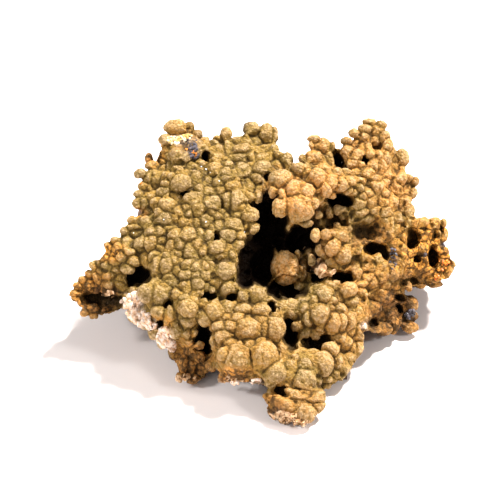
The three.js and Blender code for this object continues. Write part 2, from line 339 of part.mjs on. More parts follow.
// Distance from a place on the show face to the outline, negative outside it.
function depthInside(across, up) {
  let inside = false;
  let nearest = Infinity;
  OUTLINE.forEach(([a1, u1], i) => {
    const [a2, u2] = OUTLINE[(i + 1) % OUTLINE.length];
    if (u1 > up !== u2 > up && across < a1 + ((up - u1) * (a2 - a1)) / (u2 - u1)) inside = !inside;
    const length = (a2 - a1) ** 2 + (u2 - u1) ** 2;
    const share = Math.min(1, Math.max(0, ((across - a1) * (a2 - a1) + (up - u1) * (u2 - u1)) / length));
    nearest = Math.min(nearest, Math.hypot(across - a1 - share * (a2 - a1), up - u1 - share * (u2 - u1)));
  });
  return inside ? nearest : -nearest;
}

// Thickness of the ground at a place on the show face.
function groundThickness(across, up) {
  const share = Math.min(1, Math.max(0, depthInside(across, up) / GROUND.rounding));
  let full = GROUND.thickness;
  for (const end of [GROUND.wing, GROUND.block]) {
    const along = Math.min(1, Math.max(0, (across - end.from) / (end.to - end.from)));
    full = Math.min(full, GROUND.thickness + along * (end.thickness - GROUND.thickness));
  }
  return 1.5 + full * (1 - (1 - share) ** 2) ** 0.75;
}

// A closed sheet over a rectangle of the show face, with the crust's depth on top.
function sheet() {
  const columns = 26;
  const rows = 21;
  const vertices = [];
  for (const side of ["top", "bottom"]) {
    for (let j = 0; j <= rows; j++) {
      for (let i = 0; i <= columns; i++) {
        const across = (i - columns / 2) * GROUND.step + 0.3;
        const up = (j - rows / 2) * GROUND.step + 0.2;
        const top = faceDepth(across, up) - GROUND.recess + GROUND.roughness * (2 * random() - 1);
        const under = top - groundThickness(across, up) - GROUND.backRoughness * random();
        const out = side === "top" ? top : under;
        vertices.push(...fromFace(across, up, out));
      }
    }
  }
  const width = columns + 1;
  const count = width * (rows + 1);
  const index = [];
  const quad = (a, b, c, d) => index.push(a, b, c, a, c, d);
  for (let j = 0; j < rows; j++) {
    for (let i = 0; i < columns; i++) {
      const at = j * width + i;
      quad(at, at + 1, at + width + 1, at + width);
      quad(count + at, count + at + width, count + at + width + 1, count + at + 1);
    }
  }
  for (let i = 0; i < columns; i++) {
    quad(i, count + i, count + i + 1, i + 1);
    const back = rows * width + i;
    quad(back, back + 1, count + back + 1, count + back);
  }
  for (let j = 0; j < rows; j++) {
    const left = j * width;
    quad(left, left + width, count + left + width, count + left);
    const right = left + columns;
    quad(right, count + right, count + right + width, right + width);
  }
  return new wasm.Manifold(
    new wasm.Mesh({
      numProp: 3,
      vertProperties: new Float32Array(vertices),
      triVerts: new Uint32Array(index),
    }),
  );
}

// The outline, drawn in at its edge, as a prism along the out direction.
function outlinePrism() {
  const shape = new THREE.Shape();
  OUTLINE.forEach(([across, up], i) => {
    const [a1, u1] = OUTLINE[(i + OUTLINE.length - 1) % OUTLINE.length];
    const [a2, u2] = OUTLINE[(i + 1) % OUTLINE.length];
    const length = Math.hypot(a2 - a1, u2 - u1);
    const inwards = [(u2 - u1) / length, (a1 - a2) / length];
    const place = [across + GROUND.inset * inwards[0], up + GROUND.inset * inwards[1]];
    if (i === 0) shape.moveTo(...place);
    else shape.lineTo(...place);
  });
  const geometry = new THREE.ExtrudeGeometry(shape, { depth: 200, bevelEnabled: false });
  geometry.translate(0, 0, -100);
  geometry.applyMatrix4(faceTurn);
  geometry.translate(MIDDLE.x, MIDDLE.y, 0);
  return solid(geometry);
}

// Stretched balls from a table of places in the show face's axes.
function faceBalls(table, detail) {
  return table.map(([across, up, out, ...radii]) => ball(fromFace(across, up, out), radii, detail, faceTurn));
}

// The ground: the sheet inside the outline, with its hollows and the parts that stand in them.
function ground() {
  let body = sheet().intersect(outlinePrism());
  for (const hollow of faceBalls(HOLLOWS, 1)) body = body.subtract(hollow);
  for (const pillar of faceBalls(PILLARS, 1)) body = body.add(pillar);
  return body;
}

const radiusOf = ([, , radiusAcross, radiusUp]) => Math.sqrt(radiusAcross * radiusUp);

function faceLumps() {
  return LUMPS.filter((entry) => radiusOf(entry) >= SMALLEST_LUMP).map((entry) => {
    const [across, up, radiusAcross, radiusUp, lift = 0] = entry;
    const radius = radiusOf(entry);
    const thickness = Math.max(LUMP_THICKNESS * radius, 1);
    const centre = fromFace(across, up, faceDepth(across, up) + lift - thickness);
    const radii = [radiusAcross * LUMP_SPREAD, radiusUp * LUMP_SPREAD, thickness];
    return ball(centre, radii, radius >= LARGE_LUMP ? 1 : 0, faceTurn);
  });
}

// Lumps over the back: on the ground's underside, well inside the outline.
function backLumps() {
  const dice = randomFrom(BACK.seed);
  const lumps = [];
  const places = [];
  for (let i = 0; i < BACK.tries && lumps.length < BACK.count; i++) {
    const across = -34 + 76 * dice();
    const up = -20 + 56 * dice();
    const radius = BACK.minRadius + (BACK.maxRadius - BACK.minRadius) * dice() ** 2;
    if (depthInside(across, up) < radius + 1) continue;
    const out = faceDepth(across, up) - GROUND.recess - groundThickness(across, up) + radius * 0.5;
    const place = fromFace(across, up, out);
    if (place.z < radius * 0.6 || places.some((other) => other.distanceTo(place) < radius * 1.4)) continue;
    places.push(place);
    lumps.push(ball(place, [radius, radius, radius], 0));
  }
  return lumps;
}

function floorBlock() {
  const geometry = new THREE.BoxGeometry(FLOOR_BLOCK, FLOOR_BLOCK, FLOOR_BLOCK);
  geometry.translate(0, 0, -FLOOR_BLOCK / 2);
  return solid(geometry);
}

function specimenSolid() {
  const joined = [...faceLumps(), ...backLumps()].reduce((whole, lump) => whole.add(lump), ground());
  return joined.subtract(floorBlock());
}

// The outer skin of a mesh, as an index: hollows closed off inside the rock are filled.
function outerSkin({ vertProperties, triVerts }) {
  const owner = Array.from({ length: vertProperties.length / 3 }, (_, i) => i);
  const find = (i) => {
    while (owner[i] !== i) i = owner[i] = owner[owner[i]];
    return i;
  };
  for (let i = 0; i < triVerts.length; i += 3) {
    owner[find(triVerts[i])] = find(triVerts[i + 1]);
    owner[find(triVerts[i + 1])] = find(triVerts[i + 2]);
  }
  let leftmost = 0;
  for (let i = 0; i < owner.length; i++) {
    if (vertProperties[3 * i] < vertProperties[3 * leftmost]) leftmost = i;
  }
  const skin = find(leftmost);
  const kept = [];
  for (let i = 0; i < triVerts.length; i += 3) {
    if (find(triVerts[i]) === skin) kept.push(triVerts[i], triVerts[i + 1], triVerts[i + 2]);
  }
  return kept;
}

// A solid's outer skin as a geometry that three.js can draw.
function geometryOf(body) {
  const mesh = body.getMesh();
  const geometry = new THREE.BufferGeometry();
  geometry.setAttribute("position", new THREE.BufferAttribute(mesh.vertProperties, 3));
  geometry.setIndex(outerSkin(mesh));
  const flat = geometry.toNonIndexed();
  flat.computeVertexNormals();
  return flat;
}

const crust = new THREE.MeshStandardMaterial({ color: 0x9a8450, roughness: 0.7, metalness: 0 });
const specimen = new THREE.Mesh(geometryOf(specimenSolid()), crust);
specimen.name = "mottramite_specimen";

const group = new THREE.Group();
group.add(specimen);

export default group;
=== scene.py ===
# A hand-sized mottramite specimen: a grape-like olive crust on a pitted brown matrix.
import math
import random

import bmesh
import bpy
import numpy as np
from mathutils import Euler, Matrix, Vector, noise
from mathutils.kdtree import KDTree


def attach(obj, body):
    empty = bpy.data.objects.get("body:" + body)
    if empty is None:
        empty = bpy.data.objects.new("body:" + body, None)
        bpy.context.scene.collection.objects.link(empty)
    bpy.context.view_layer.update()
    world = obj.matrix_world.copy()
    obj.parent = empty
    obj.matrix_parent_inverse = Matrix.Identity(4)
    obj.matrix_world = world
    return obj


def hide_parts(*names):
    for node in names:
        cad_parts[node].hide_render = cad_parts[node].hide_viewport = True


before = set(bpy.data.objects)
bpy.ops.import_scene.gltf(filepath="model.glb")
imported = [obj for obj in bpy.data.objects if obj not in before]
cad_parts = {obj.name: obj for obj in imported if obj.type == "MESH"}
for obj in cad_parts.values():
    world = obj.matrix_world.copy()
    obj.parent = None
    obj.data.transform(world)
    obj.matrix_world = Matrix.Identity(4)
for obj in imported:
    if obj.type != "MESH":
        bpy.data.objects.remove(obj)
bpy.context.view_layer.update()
nodeName = "mottramite_specimen"
noise.seed_set(7)  # noise vectors would differ in each run without it
print("frame loaded")

# Sizes are in millimetres on the leaning show face: across, up the face, and out towards the viewer.
mm = 0.001
face = {
    "tilt": 40,  # elevation of the face's normal, degrees
    "middle": (-0.28, 18.96),  # moves the footprint's middle to the origin
}

# Outline of the show face: (across, up).
outline = [
    (-50, -6.2), (-47.6, -1.8), (-43, 1), (-40.5, 5.5), (-35, 11), (-31.8, 15), (-32.5, 18.5), (-31.5, 23),
    (-28.5, 26.8), (-26.5, 31.8), (-24.2, 37.5), (-20.5, 38.2), (-16.8, 35.5), (-14.2, 33.8), (-11, 34.5),
    (-9, 36.5), (-7.2, 34), (-4.2, 36.5), (-1.2, 38), (3.8, 36), (4.5, 32.5), (7.5, 28.5), (9.5, 28),
    (11.8, 31), (12.2, 33.8), (15, 34.8), (18.2, 32.5), (21, 31.2), (23.5, 34.2), (24.8, 36.8), (28.2, 38.2),
    (32.5, 36), (35.2, 30.5), (38.2, 24.2), (39.8, 21), (38.5, 15), (42, 13.8), (45.8, 13.2), (47, 6.8),
    (50.6, 1.8), (48, -2.8), (42, -4.5), (37, -5), (39, -8.2), (39.8, -11.5), (38.2, -15.2), (34.5, -14.8),
    (29.5, -16.5), (26.5, -15.8), (26.5, -20), (20.8, -28.2), (17, -29.5), (14.5, -33.2), (11.5, -36.5),
    (7.8, -38), (4, -36.5), (0, -32.8), (-1.8, -30.2), (0, -29), (-5.5, -28.2), (-12.5, -25), (-13.5, -27.5),
    (-16.8, -28.5), (-20.5, -27), (-22.5, -23.2), (-24.2, -21.5), (-22.5, -19), (-28, -16.5), (-33, -13.2),
    (-34, -10), (-38, -11.5), (-42.5, -12), (-45.5, -10.2),
]

# How far out the crust lies at places on the face: (across, up, out).
crustDepths = [
    # crest
    (-20.5, 34.5, 26), (-9, 33.5, 24), (0.75, 34, 22), (-26, 30, 27), (-15.5, 29, 29.5), (-4.25, 30, 27),
    (4.5, 28, 27.5),
    # upper plate
    (-29, 22.5, 30), (-20.5, 21.75, 33), (-9.25, 22, 32.5), (-1, 23.5, 30.5), (-29.5, 17, 31.5),
    (-24.25, 14.25, 35.5), (-15.5, 14.25, 36), (-6.75, 16.75, 35), (-3.5, 13, 34.5),
    # lower plate
    (-32.5, 10, 33.5), (-27.5, 8, 37), (-19, 6.5, 39), (-10.5, 4.5, 39), (-6.5, 9.5, 37), (-24, 1.5, 40),
    (-16, -1, 42), (-10, -1.5, 41.5), (-27, -5.25, 42), (-18, -9, 44.5), (-12.5, -10, 44.5),
    (-8.5, -4.5, 41.5), (-2.5, -6.5, 41.5), (-2, -9.5, 43.5),
    # left wing and its hollow end
    (-37.5, 1, 34.5), (-41, 1, 32.5), (-33, 3, 36.5), (-36.5, -3, 34), (-44.5, -2, 31.5), (-46, -6.5, 31.5),
    (-43, -10.5, 31.5), (-39.5, -10.75, 32),
    # white fringe
    (-32.25, -8.5, 36.5), (-28.5, -12.5, 38.5), (-24.5, -16.5, 38),
    # front column and the row left of it
    (-24.25, -11, 42.5), (-20.5, -14.5, 42), (-17, -16.5, 40.5), (-10.5, -15.75, 45.5), (-4, -13.75, 45.5),
    (3, -14, 44.5), (-7, -21, 48), (0.75, -20.5, 47.5), (3, -24.25, 47.5), (7, -23.5, 46), (11, -25.5, 46),
    (5, -19, 43.5),
    # bottom lobe
    (6.5, -32.25, 48), (10, -33.75, 48.5), (12.5, -31.5, 47),
    # right ridge
    (4.75, 22, 36.5), (9, 20, 38.5), (9.5, 17, 39.5), (5, 17, 38.5), (9.5, 25, 34.5), (14.5, 23, 36.5),
    (17, 21.5, 36.5), (20.5, 22.5, 35), (19.5, 20, 33.5),
    # horn
    (14, 31.25, 30), (13.5, 28.5, 31), (17, 30, 29.5), (21.5, 31.5, 29), (24, 32.5, 27), (28.5, 34, 26),
    (27, 29, 29), (24, 26.5, 30.5), (31, 27.5, 29.5),
    # upper right shoulder
    (34.5, 28, 25), (34.5, 22.5, 27.5), (28.25, 21.5, 31.5), (24.5, 19.5, 32.5), (30.75, 15.5, 30.5),
    (36, 16.5, 27), (37.5, 21.5, 25),
    # right block
    (31.5, 10.5, 30), (36, 9.5, 27), (42, 9.5, 23.75), (44.5, 8, 22), (40.75, 2.5, 24), (45, 2, 22),
    (35, 3, 27.5), (31, 0.5, 29.5), (26, 1.25, 30.5), (24.5, 0, 31), (41, -2.25, 21.5),
    # small lumps under the ridge, centre cluster and the lobe in the cavity
    (18.5, 14.5, 31.5), (15.5, 8, 35), (19.5, 5.5, 34.5), (16, 3, 33), (10, 5.5, 29), (5.75, 0.75, 30),
    (9.75, -1.5, 30),
    # lower middle
    (7.5, -9.25, 38.5), (11, -9.5, 39), (15.5, -6.75, 38.5), (14.5, -10.25, 40), (21, -4.5, 36.5),
    (22, -7.5, 36), (19.5, -9.5, 37.5), (18.75, -12.5, 39.5), (21.75, -12.5, 37), (24.75, -5.75, 32),
    (11, -14.75, 38), (20, -16.75, 37.5), (23.5, -16.5, 35), (21.75, -19, 36), (17, -19.5, 40),
    (15, -22.5, 42), (18, -22.5, 39), (16, -26.75, 39),
    # bare matrix: right foot, left foot
    (29, -6.5, 28.5), (32, -10.75, 24.5), (37, -10.5, 21.5), (36, -5, 25), (-19.25, -22.5, 37.5),
    (-15.5, -21.5, 37.5), (-17, -25, 36.5), (-21.5, -19.5, 35),
]

# Lumps of the crust: (across, up, radius across, radius up), some with a lift and a turn in degrees.
lumps = [
    # crest
    (-21.75, 36.5, 3, 2), (-18.75, 36.5, 1.75, 1.5, -1.5), (-21.5, 37.5, 2, 1, -1.5),
    (-16.5, 34.5, 1.5, 1.5, -2.5), (-24.5, 33.25, 1.5, 1.5, 1), (-26.5, 32.75, 0.75, 1, -1.5),
    (-24.25, 31.25, 0.75, 1.25), (-20.5, 33.5, 3.25, 1.75), (-21.5, 31.25, 1.75, 1, 1),
    (-17.5, 31.25, 1.75, 2.25), (-21, 29, 2, 2, 2.5), (-23.5, 28.75, 1, 1.5), (-27.75, 26.75, 1.75, 1.25),
    (-28.5, 28.5, 1, 1.5, -2), (-24.75, 27.25, 1, 1), (-24.75, 26, 1.25, 1), (-23, 26.5, 1, 1.25),
    (-21, 25.75, 1.5, 1), (-17.5, 26.25, 1.75, 1), (-15.25, 27, 1.25, 1), (-14.25, 32.5, 1.5, 1.5, -2),
    (-12.5, 32.25, 2, 1.25, -1), (-9, 35, 1.5, 1.75, -0.5), (-11.25, 33.75, 1.25, 1, -1),
    (-11.25, 30.5, 2, 2), (-8.5, 30.5, 1.5, 2.25, 0.5), (-10.75, 28.75, 1.25, 1.25, 1),
    (-5.5, 30.75, 1.75, 1.25), (-5.5, 28.75, 1.75, 1.5, 0.5), (-2.75, 28.75, 1.25, 1.25),
    (-5.5, 33, 2.25, 1.25, -1.5), (-2, 32.5, 1.75, 1.5, -1.5), (-2.5, 36.25, 2.25, 1.75, -0.5),
    (1, 35.25, 2.25, 2.25), (3.25, 34.75, 1, 2.25, -1), (1, 31.25, 2.5, 1), (3, 31.25, 1.25, 1),
    (0.5, 28.75, 2, 1.25), (4.75, 29.5, 1.5, 1), (6.25, 28.25, 1.75, 2), (0.25, 26.25, 2.25, 1.75, 1),
    (4, 26.5, 1.5, 1.5), (-3, 26.5, 1.5, 1.25), (-5, 25.25, 2.25, 2.25, 0.5), (-7.25, 25, 1, 1),
    (-8.5, 26.5, 1.75, 1.5), (-11.75, 25.5, 2, 2, 0.5),
    # upper plate, right half
    (-9, 24.75, 1.75, 1.5), (-1.25, 23.25, 1.5, 1.5, 0.5), (0.75, 22.25, 1, 1, -1),
    (-3.5, 21.25, 1.75, 1.75), (-0.75, 20.5, 1.5, 1.5), (-2.75, 18.75, 1.5, 1.25), (-1, 18.75, 1.25, 1.75),
    (-1.25, 17, 1, 0.75, -1), (-11, 22.25, 2, 1.5), (-7.5, 21.5, 1.75, 1.5, 0.5), (-9, 23.25, 1.5, 1),
    (-10.5, 20.5, 2, 1.25), (-12.25, 17.25, 2, 1.75, 0.5), (-8.25, 17.75, 1.75, 2), (-6.25, 18, 2, 2.5, 0.5),
    (-5.25, 16.5, 1.25, 1.25), (-10, 15, 1, 1), (-12.75, 14.75, 1, 1), (-11, 13.75, 1.25, 1),
    (-8.75, 14, 1, 1), (-6.75, 14.25, 2, 1), (-3, 14.25, 2.25, 2, 1), (-2.5, 11.25, 1.75, 1.75),
    (-4.25, 11.5, 1.25, 1.25), (-7.25, 11.75, 2.25, 1.5), (-10.75, 11.25, 1.5, 1.5),
    (-8.5, 9, 1.75, 1.5, 0.5), (-5.5, 9, 1.25, 1), (-6, 6.75, 1.75, 1.25), (-11.25, 6, 2, 1.75, 0.5),
    (-9, 4.75, 1.75, 1.75), (-10.25, 4, 1.5, 1, 0.5), (-7.75, 4.5, 1, 1.25), (-9.5, 0.5, 2, 2, 0.5),
    (-12.25, -1, 1.25, 1.25), (-14.25, -1, 1.5, 1.25), (-12.5, 1.25, 1.25, 1.25), (-14.25, 1.25, 1.25, 1.25),
    (-13, 3.25, 1.5, 1), (-14.75, 5.5, 1.25, 1.25), (-13.75, 8.75, 1.75, 1.5), (-12.5, 11, 0.75, 1),
    (-14, 12.75, 1.75, 1.75, 0.5),
    # plate, left half
    (-30.5, 24.75, 1.75, 1.25), (-28.5, 24, 1.5, 1.5), (-26.5, 23.75, 1.5, 1.75), (-24.25, 24, 1, 1.25),
    (-22.5, 24, 1, 1.25), (-20, 24.5, 2, 1.25), (-20, 22.25, 2, 2, 1.5), (-16.75, 23.5, 1.75, 2),
    (-17.25, 21.5, 1.25, 1.25), (-15.75, 20.75, 1.25, 1.25, 0.5), (-13.5, 22.25, 1.5, 1.5),
    (-15.75, 25, 1.5, 1.25), (-13.75, 24.75, 1.25, 1), (-29.75, 21.25, 1.5, 1.25), (-28.25, 20.75, 1, 1),
    (-26.75, 21.25, 1, 1), (-24, 22, 1.5, 1.25), (-24.75, 20.25, 1.75, 1.25, 0.5), (-13.5, 19.75, 1.75, 1.5),
    (-31, 19.5, 1.25, 1.25), (-27.5, 18.75, 2, 1.5), (-21.5, 18.5, 1.75, 1), (-17.5, 18, 2.25, 2, 0.5),
    (-31.25, 17.25, 1.25, 1.5), (-29.25, 17.25, 1.5, 1.75), (-26.25, 17.25, 1.75, 1.5),
    (-23.75, 16.75, 2, 1.75), (-28.25, 14.75, 1.25, 1.25), (-26, 15, 1, 1.25), (-21, 15, 1.5, 1.5),
    (-18.75, 16, 1.5, 1.25), (-18.25, 14.5, 1, 1, 0.5), (-16, 15.25, 1.75, 1.75), (-24.25, 13, 2, 1.75, 0.5),
    (-22, 13.5, 1.5, 1.5), (-18.75, 12.5, 1.75, 1.25), (-16.25, 12.25, 1.25, 1.25), (-28.75, 12.5, 2, 1.5),
    (-32.5, 12.75, 1.5, 1.25), (-32, 11.25, 2.25, 1.25), (-34, 10.25, 1.5, 1.5), (-31.25, 9.75, 2.25, 1.5),
    (-27.5, 10, 1.5, 1.25), (-25.75, 10, 1.5, 1.5), (-23.5, 11, 2, 0.75), (-21.75, 9.25, 1.75, 1.5, 0.5),
    (-18.25, 9.25, 2, 1.75), (-15.5, 9.25, 1.5, 1.5), (-33.75, 7, 1.5, 1.75), (-30.5, 7, 1.75, 1.75, 0.5),
    (-27.75, 7.25, 1.5, 2), (-25, 7.5, 1.5, 1.5), (-25.25, 5.75, 1.25, 1.25), (-22.75, 6.5, 1.25, 1.5),
    (-20.5, 6.75, 1.5, 1.5), (-16.25, 6.75, 1.5, 1.5), (-18, 4.75, 1.75, 2.25, 0.5),
    (-21.25, 4.5, 1.5, 1.25), (-26.75, 4, 1.5, 1.25), (-24, 4, 1, 1), (-36, 6, 1.25, 1.5), (-33, 5, 1.5, 1),
    (-32, 2.75, 1.5, 1.5), (-29.25, 3.25, 1.25, 1.5), (-34.75, 3.75, 1.5, 1.25), (-26, 1.75, 1.5, 2.25),
    (-23.75, 1.75, 2, 2, 0.5), (-22, 2.5, 1.25, 1.5), (-20.5, 2.5, 1.25, 1), (-18.5, 1.5, 1.75, 1.5),
    (-16.25, 1, 1.5, 1.5), (-21, 0.5, 1.75, 1.5), (-33.5, 0.75, 1.75, 1.25), (-25.5, -1, 1.25, 1.25, -1),
    (-23, -1.5, 1.5, 1.25), (-18.75, -0.75, 1.75, 1.25), (-16.25, -1, 1.25, 1.25),
    # lower plate
    (-16, -3, 1.5, 1.5, 0.5), (-18.75, -3.75, 1.75, 1.5), (-22.25, -2.75, 2, 1.25),
    (-21.25, -5.5, 1.5, 1.25), (-16, -5.25, 1.5, 1.25), (-14.25, -3.75, 1.25, 1.25), (-12.5, -4.25, 1, 1),
    (-11.5, -2.5, 1.75, 1.5), (-8.75, -4, 1.5, 1.5), (-19.25, -6.25, 1.25, 0.75), (-17, -7.25, 1.5, 1),
    (-14.5, -7.75, 1.5, 1.25), (-18.5, -9, 2, 2, 1), (-18.25, -11.75, 2, 1.75, 0.5),
    (-21, -8.5, 1.25, 1.75, -1), (-12.25, -9.75, 2.25, 2.25), (-14.25, -11.5, 1.75, 2), (-8.5, -9, 1.5, 2),
    (-8.75, -11.25, 1.25, 1), (-28.25, -5.25, 2.75, 2.5), (-25.5, -5.5, 2.5, 2.5, 0.5),
    (-24.75, -3.5, 1.25, 1), (-25.75, -9.75, 2, 1.5), (-29, -9.75, 1.5, 1.5, -1), (-22.75, -10.25, 1.5, 2),
    (-21.75, -14, 1.5, 2.5), (-23.75, -12.75, 0.75, 1.5), (-17.25, -15, 1.25, 1), (-19, -15.5, 1.25, 1),
    (-18.75, -17.5, 1.75, 0.75), (-15.5, -18.25, 1.25, 1.25),
    # front column
    (-10.75, -13.5, 1.5, 1.25), (-10, -16.25, 2, 1.75), (-12, -16.75, 1, 1.5), (-8, -13.5, 1.75, 1.25),
    (-6, -11.25, 1.5, 1), (-4.75, -9.25, 2, 1.25), (0, -9.5, 2.25, 1.5, 0.5), (-1.5, -5.5, 2.25, 2),
    (-4.25, -6, 1.25, 1.25), (-3.25, -13.75, 2.5, 2.25, 0.5), (-0.75, -12, 2, 1.25),
    (3.5, -14, 2.25, 2.5, 0.5), (1, -14.25, 1.75, 2), (3, -10.75, 1.25, 1), (-5.5, -17.5, 1, 0.75),
    (-3.25, -18, 1.5, 1.25), (-8, -17.75, 1.75, 1.25), (-6.5, -21.75, 3, 3.25), (-9, -20.5, 2, 2),
    (0.75, -20.5, 3, 3.25, 0.5), (3.5, -24.75, 2.5, 2.5), (0.25, -25.25, 2.5, 1.5, -2),
    (7, -24.25, 1.75, 3.25), (4.75, -19.5, 1.25, 2.25), (10.5, -23.25, 1.75, 2), (8, -21.25, 1.25, 1.25),
    (10.75, -26.75, 2.5, 2.5, 0.5), (13.5, -26.75, 1.5, 1.75), (-7.5, -25.75, 3, 1.5, -3),
    # bottom lobe


    (5.75, -36.5, 1.75, 1, -1.5), (9.5, -36.75, 2, 1, -1.5),
    # right ridge
    (4.75, 23, 3, 2.5), (2.75, 20.25, 1.25, 1.75), (5, 19, 1, 2), (4.75, 16, 2.25, 2.5),
    (9.5, 16, 3.5, 3.25), (12.75, 17, 1.5, 1.75), (8.5, 20.5, 2.5, 2.5), (11, 20, 2, 2.25, 0.5),
    (8, 12.25, 0.75, 1), (11, 12.25, 1.75, 1, -1), (2.75, 15, 0.75, 1.25), (3.25, 13.5, 1, 0.75),
    (9.5, 26, 1.75, 1.5), (11.5, 24.75, 1.25, 1.25), (11.5, 26.75, 0.75, 1), (14, 23.75, 2.25, 2.25),
    (15.5, 25.25, 2, 1.5), (16, 20.75, 1.5, 2), (14, 20.25, 1, 0.75), (17, 22.5, 1.75, 1.75),
    (18.5, 25, 1.5, 1.25), (21, 25, 1.5, 1), (19.75, 21.75, 2, 1.75), (17.5, 19.25, 1.25, 1),
    (22, 22.75, 1.5, 1.25), (21.25, 20.5, 1.5, 1.25),
    # horn
    (13.25, 33.25, 1.75, 1.25), (15.25, 31.75, 2.25, 2), (12.5, 32, 1, 1.5), (17.75, 31.5, 1, 1.5),
    (13, 29, 2.25, 1.5), (16.75, 29.25, 1.25, 1.5), (10.25, 28.5, 1.25, 1.25, -1), (19.25, 31.5, 0.75, 1),
    (21.25, 32.75, 1.5, 1.25), (21.25, 30.5, 1.5, 1.75, 0.5), (20.5, 28.75, 0.75, 1, -0.5),
    (23.5, 32, 1.25, 1.25), (24, 29.25, 1.5, 1.5, 0.5), (25.25, 31.25, 1.25, 1.25), (23.25, 35, 1.25, 1.25),
    (25.75, 34, 1.25, 1.25), (26, 36, 1.75, 1.25), (29, 35.5, 2.25, 1.75), (31, 34, 1.5, 1.75),
    (27.25, 37.75, 1.75, 1, -1), (30, 36.75, 1.75, 1.5, -1), (27, 31.75, 1, 1), (28.75, 33.25, 1.25, 1.5),
    (27.25, 29.25, 1.25, 1.25), (28, 27, 1.5, 1.5, 0.5), (29.75, 29.25, 1, 1.25), (22.75, 27, 1.5, 1),
    (25, 26.75, 1, 1.25), (23.75, 25.25, 1.25, 1), (26.5, 24.75, 1.5, 1.25), (28.5, 23.5, 1, 1),
    (24.5, 22.75, 1.25, 1), (24.5, 21.25, 1, 1), (22.5, 20, 1.25, 1), (28.5, 21.5, 1.25, 1.5),
    (26.75, 20, 1.25, 1), (25.25, 18.75, 1, 1),
    # upper right shoulder
    (32, 32.25, 1.25, 1.25), (33, 30.5, 1, 1), (31.5, 28.5, 1, 1.25), (35.5, 28.75, 1.75, 2.25),
    (33.75, 28.25, 1, 1), (35.25, 26, 1.25, 1), (33.5, 26.5, 1, 0.75), (37.75, 25.5, 0.75, 0.75),
    (37.25, 24, 1, 1), (38.75, 22.75, 1, 1.25), (30.25, 26.75, 1.25, 1.5), (31.5, 24.5, 1.25, 1.25),
    (33, 24, 1, 1.25), (35.25, 23.5, 1.25, 1.25), (31.25, 22.5, 1, 1), (33.75, 21, 1.25, 1.5),
    (31, 19.75, 1.25, 1), (36.5, 20.75, 1.25, 1.25), (38.5, 20, 1, 1.25), (37, 15.75, 1.5, 2),
    (39, 17.75, 0.75, 1), (35, 17.25, 1.25, 1.25), (32.75, 17.5, 1.5, 1.5), (30, 18, 1.5, 1.25),
    (27.25, 17.5, 1.5, 1.25), (24.5, 17.25, 1.5, 1.25), (28.25, 15.5, 1.25, 1.25), (25.25, 15, 1.25, 1),
    (26.5, 13.5, 1.25, 1), (31.25, 11.5, 1.5, 2), (34, 13.5, 1.5, 1.25), (33.75, 11, 1.25, 1.25),
    (31, 15, 1.25, 1),
    # right block
    (37, 12.5, 1.5, 1), (40.5, 12.5, 1.75, 1.25), (43.75, 12.5, 2, 1.25), (46, 12.5, 1, 1.25),
    (35.25, 9, 1.5, 1.25), (40, 9.75, 1.75, 1.5), (43.5, 9.5, 1.75, 1.5), (46.25, 9.25, 1, 2),
    (33, 6.75, 1.25, 1.25), (34.75, 5.5, 1.25, 1.25), (37.5, 4.5, 1.5, 1), (40.5, 5.5, 1.5, 1.5),
    (46.25, 5, 1.25, 1.75), (33.25, 3, 1.25, 1.25), (37.5, 2.5, 1.5, 1.25), (41, 2.25, 1.5, 1.75),
    (43.75, 2, 1.25, 1, -0.5), (46, 2.25, 1.5, 1.5), (47.75, 1, 1, 1.5), (35.75, 0, 2, 1, -0.5),
    (40.75, -1, 2, 0.75, -1), (44.75, -0.75, 2.25, 1, -1), (43.75, -3.25, 2.25, 1, -2),
    (40.5, -3, 1.75, 1.25, -1.5), (37.25, -3.75, 1, 1.25),
    # centre cluster, small lumps above it and the lobe in the cavity
    (13.5, 9, 1.25, 1.75), (16, 9.25, 1.5, 1.5), (17.75, 9.75, 0.75, 0.75), (20, 8.75, 1.5, 1.25),
    (14.75, 5.5, 1.5, 1.5), (17.75, 6, 2, 2, 0.5), (20.25, 4.25, 2, 2), (18, 2.5, 2, 1.25, -1),
    (15.5, 0.25, 1.75, 1, -0.5), (9, 4, 1, 1.5), (12.5, 3, 1, 1.5), (12.75, 1.25, 1.25, 0.75),
    (17, 14.75, 1, 1.5), (19, 15.5, 1.25, 1.25), (14.25, 14.25, 1, 1), (15.5, 16, 1, 0.75),
    (20.25, 14, 1, 1, -1), (18.75, 11.5, 1, 1, -1), (10.25, -1, 1.25, 1.75), (9.5, 0.75, 1, 1.25),

    # cluster at the right of the cavity
    (23.75, 0, 1.25, 2), (26, 1.25, 1.5, 1.25), (25.75, 3.25, 1.5, 1), (29, 3.5, 1.25, 1.25),
    (26.25, -1.5, 1.25, 1.25), (25.25, -3, 1.25, 0.75), (27.75, -2.5, 1, 1), (30.5, -0.25, 1.5, 1.75),
    (33, -0.5, 1.5, 1.75), (33.5, -3, 1, 1), (31.25, -3, 1.25, 1),
    # lower middle
    (7.25, -9.25, 2.5, 2.5), (10.5, -6.75, 1.5, 0.75, -0.5), (10.25, -9, 1.25, 1.25), (11.5, -11.5, 1.25, 2),
    (13.25, -7, 1.25, 1.25), (15.75, -6, 2, 1.75), (17.25, -7, 1.5, 1.25), (14.5, -10.5, 2.25, 2.25, 0.5),
    (17.25, -9.25, 1, 1.25), (19.25, -6.5, 1, 1.5, -0.5), (19.5, -9.5, 1.5, 1.5),
    (18, -12.5, 1.75, 2.25, 0.5), (20, -12.5, 1.25, 2), (21.75, -12.25, 1.25, 1.75),
    (18.5, -3.25, 1.25, 1.25), (21.75, -4.5, 2, 2), (20.5, -1.5, 1, 0.75, -1), (22.5, -7.25, 1.75, 1.5),
    (24, -9, 0.75, 1.5, -0.5), (24.5, -5, 1.25, 1), (9, -13.5, 1.75, 1.5), (11, -15, 2, 1.5),
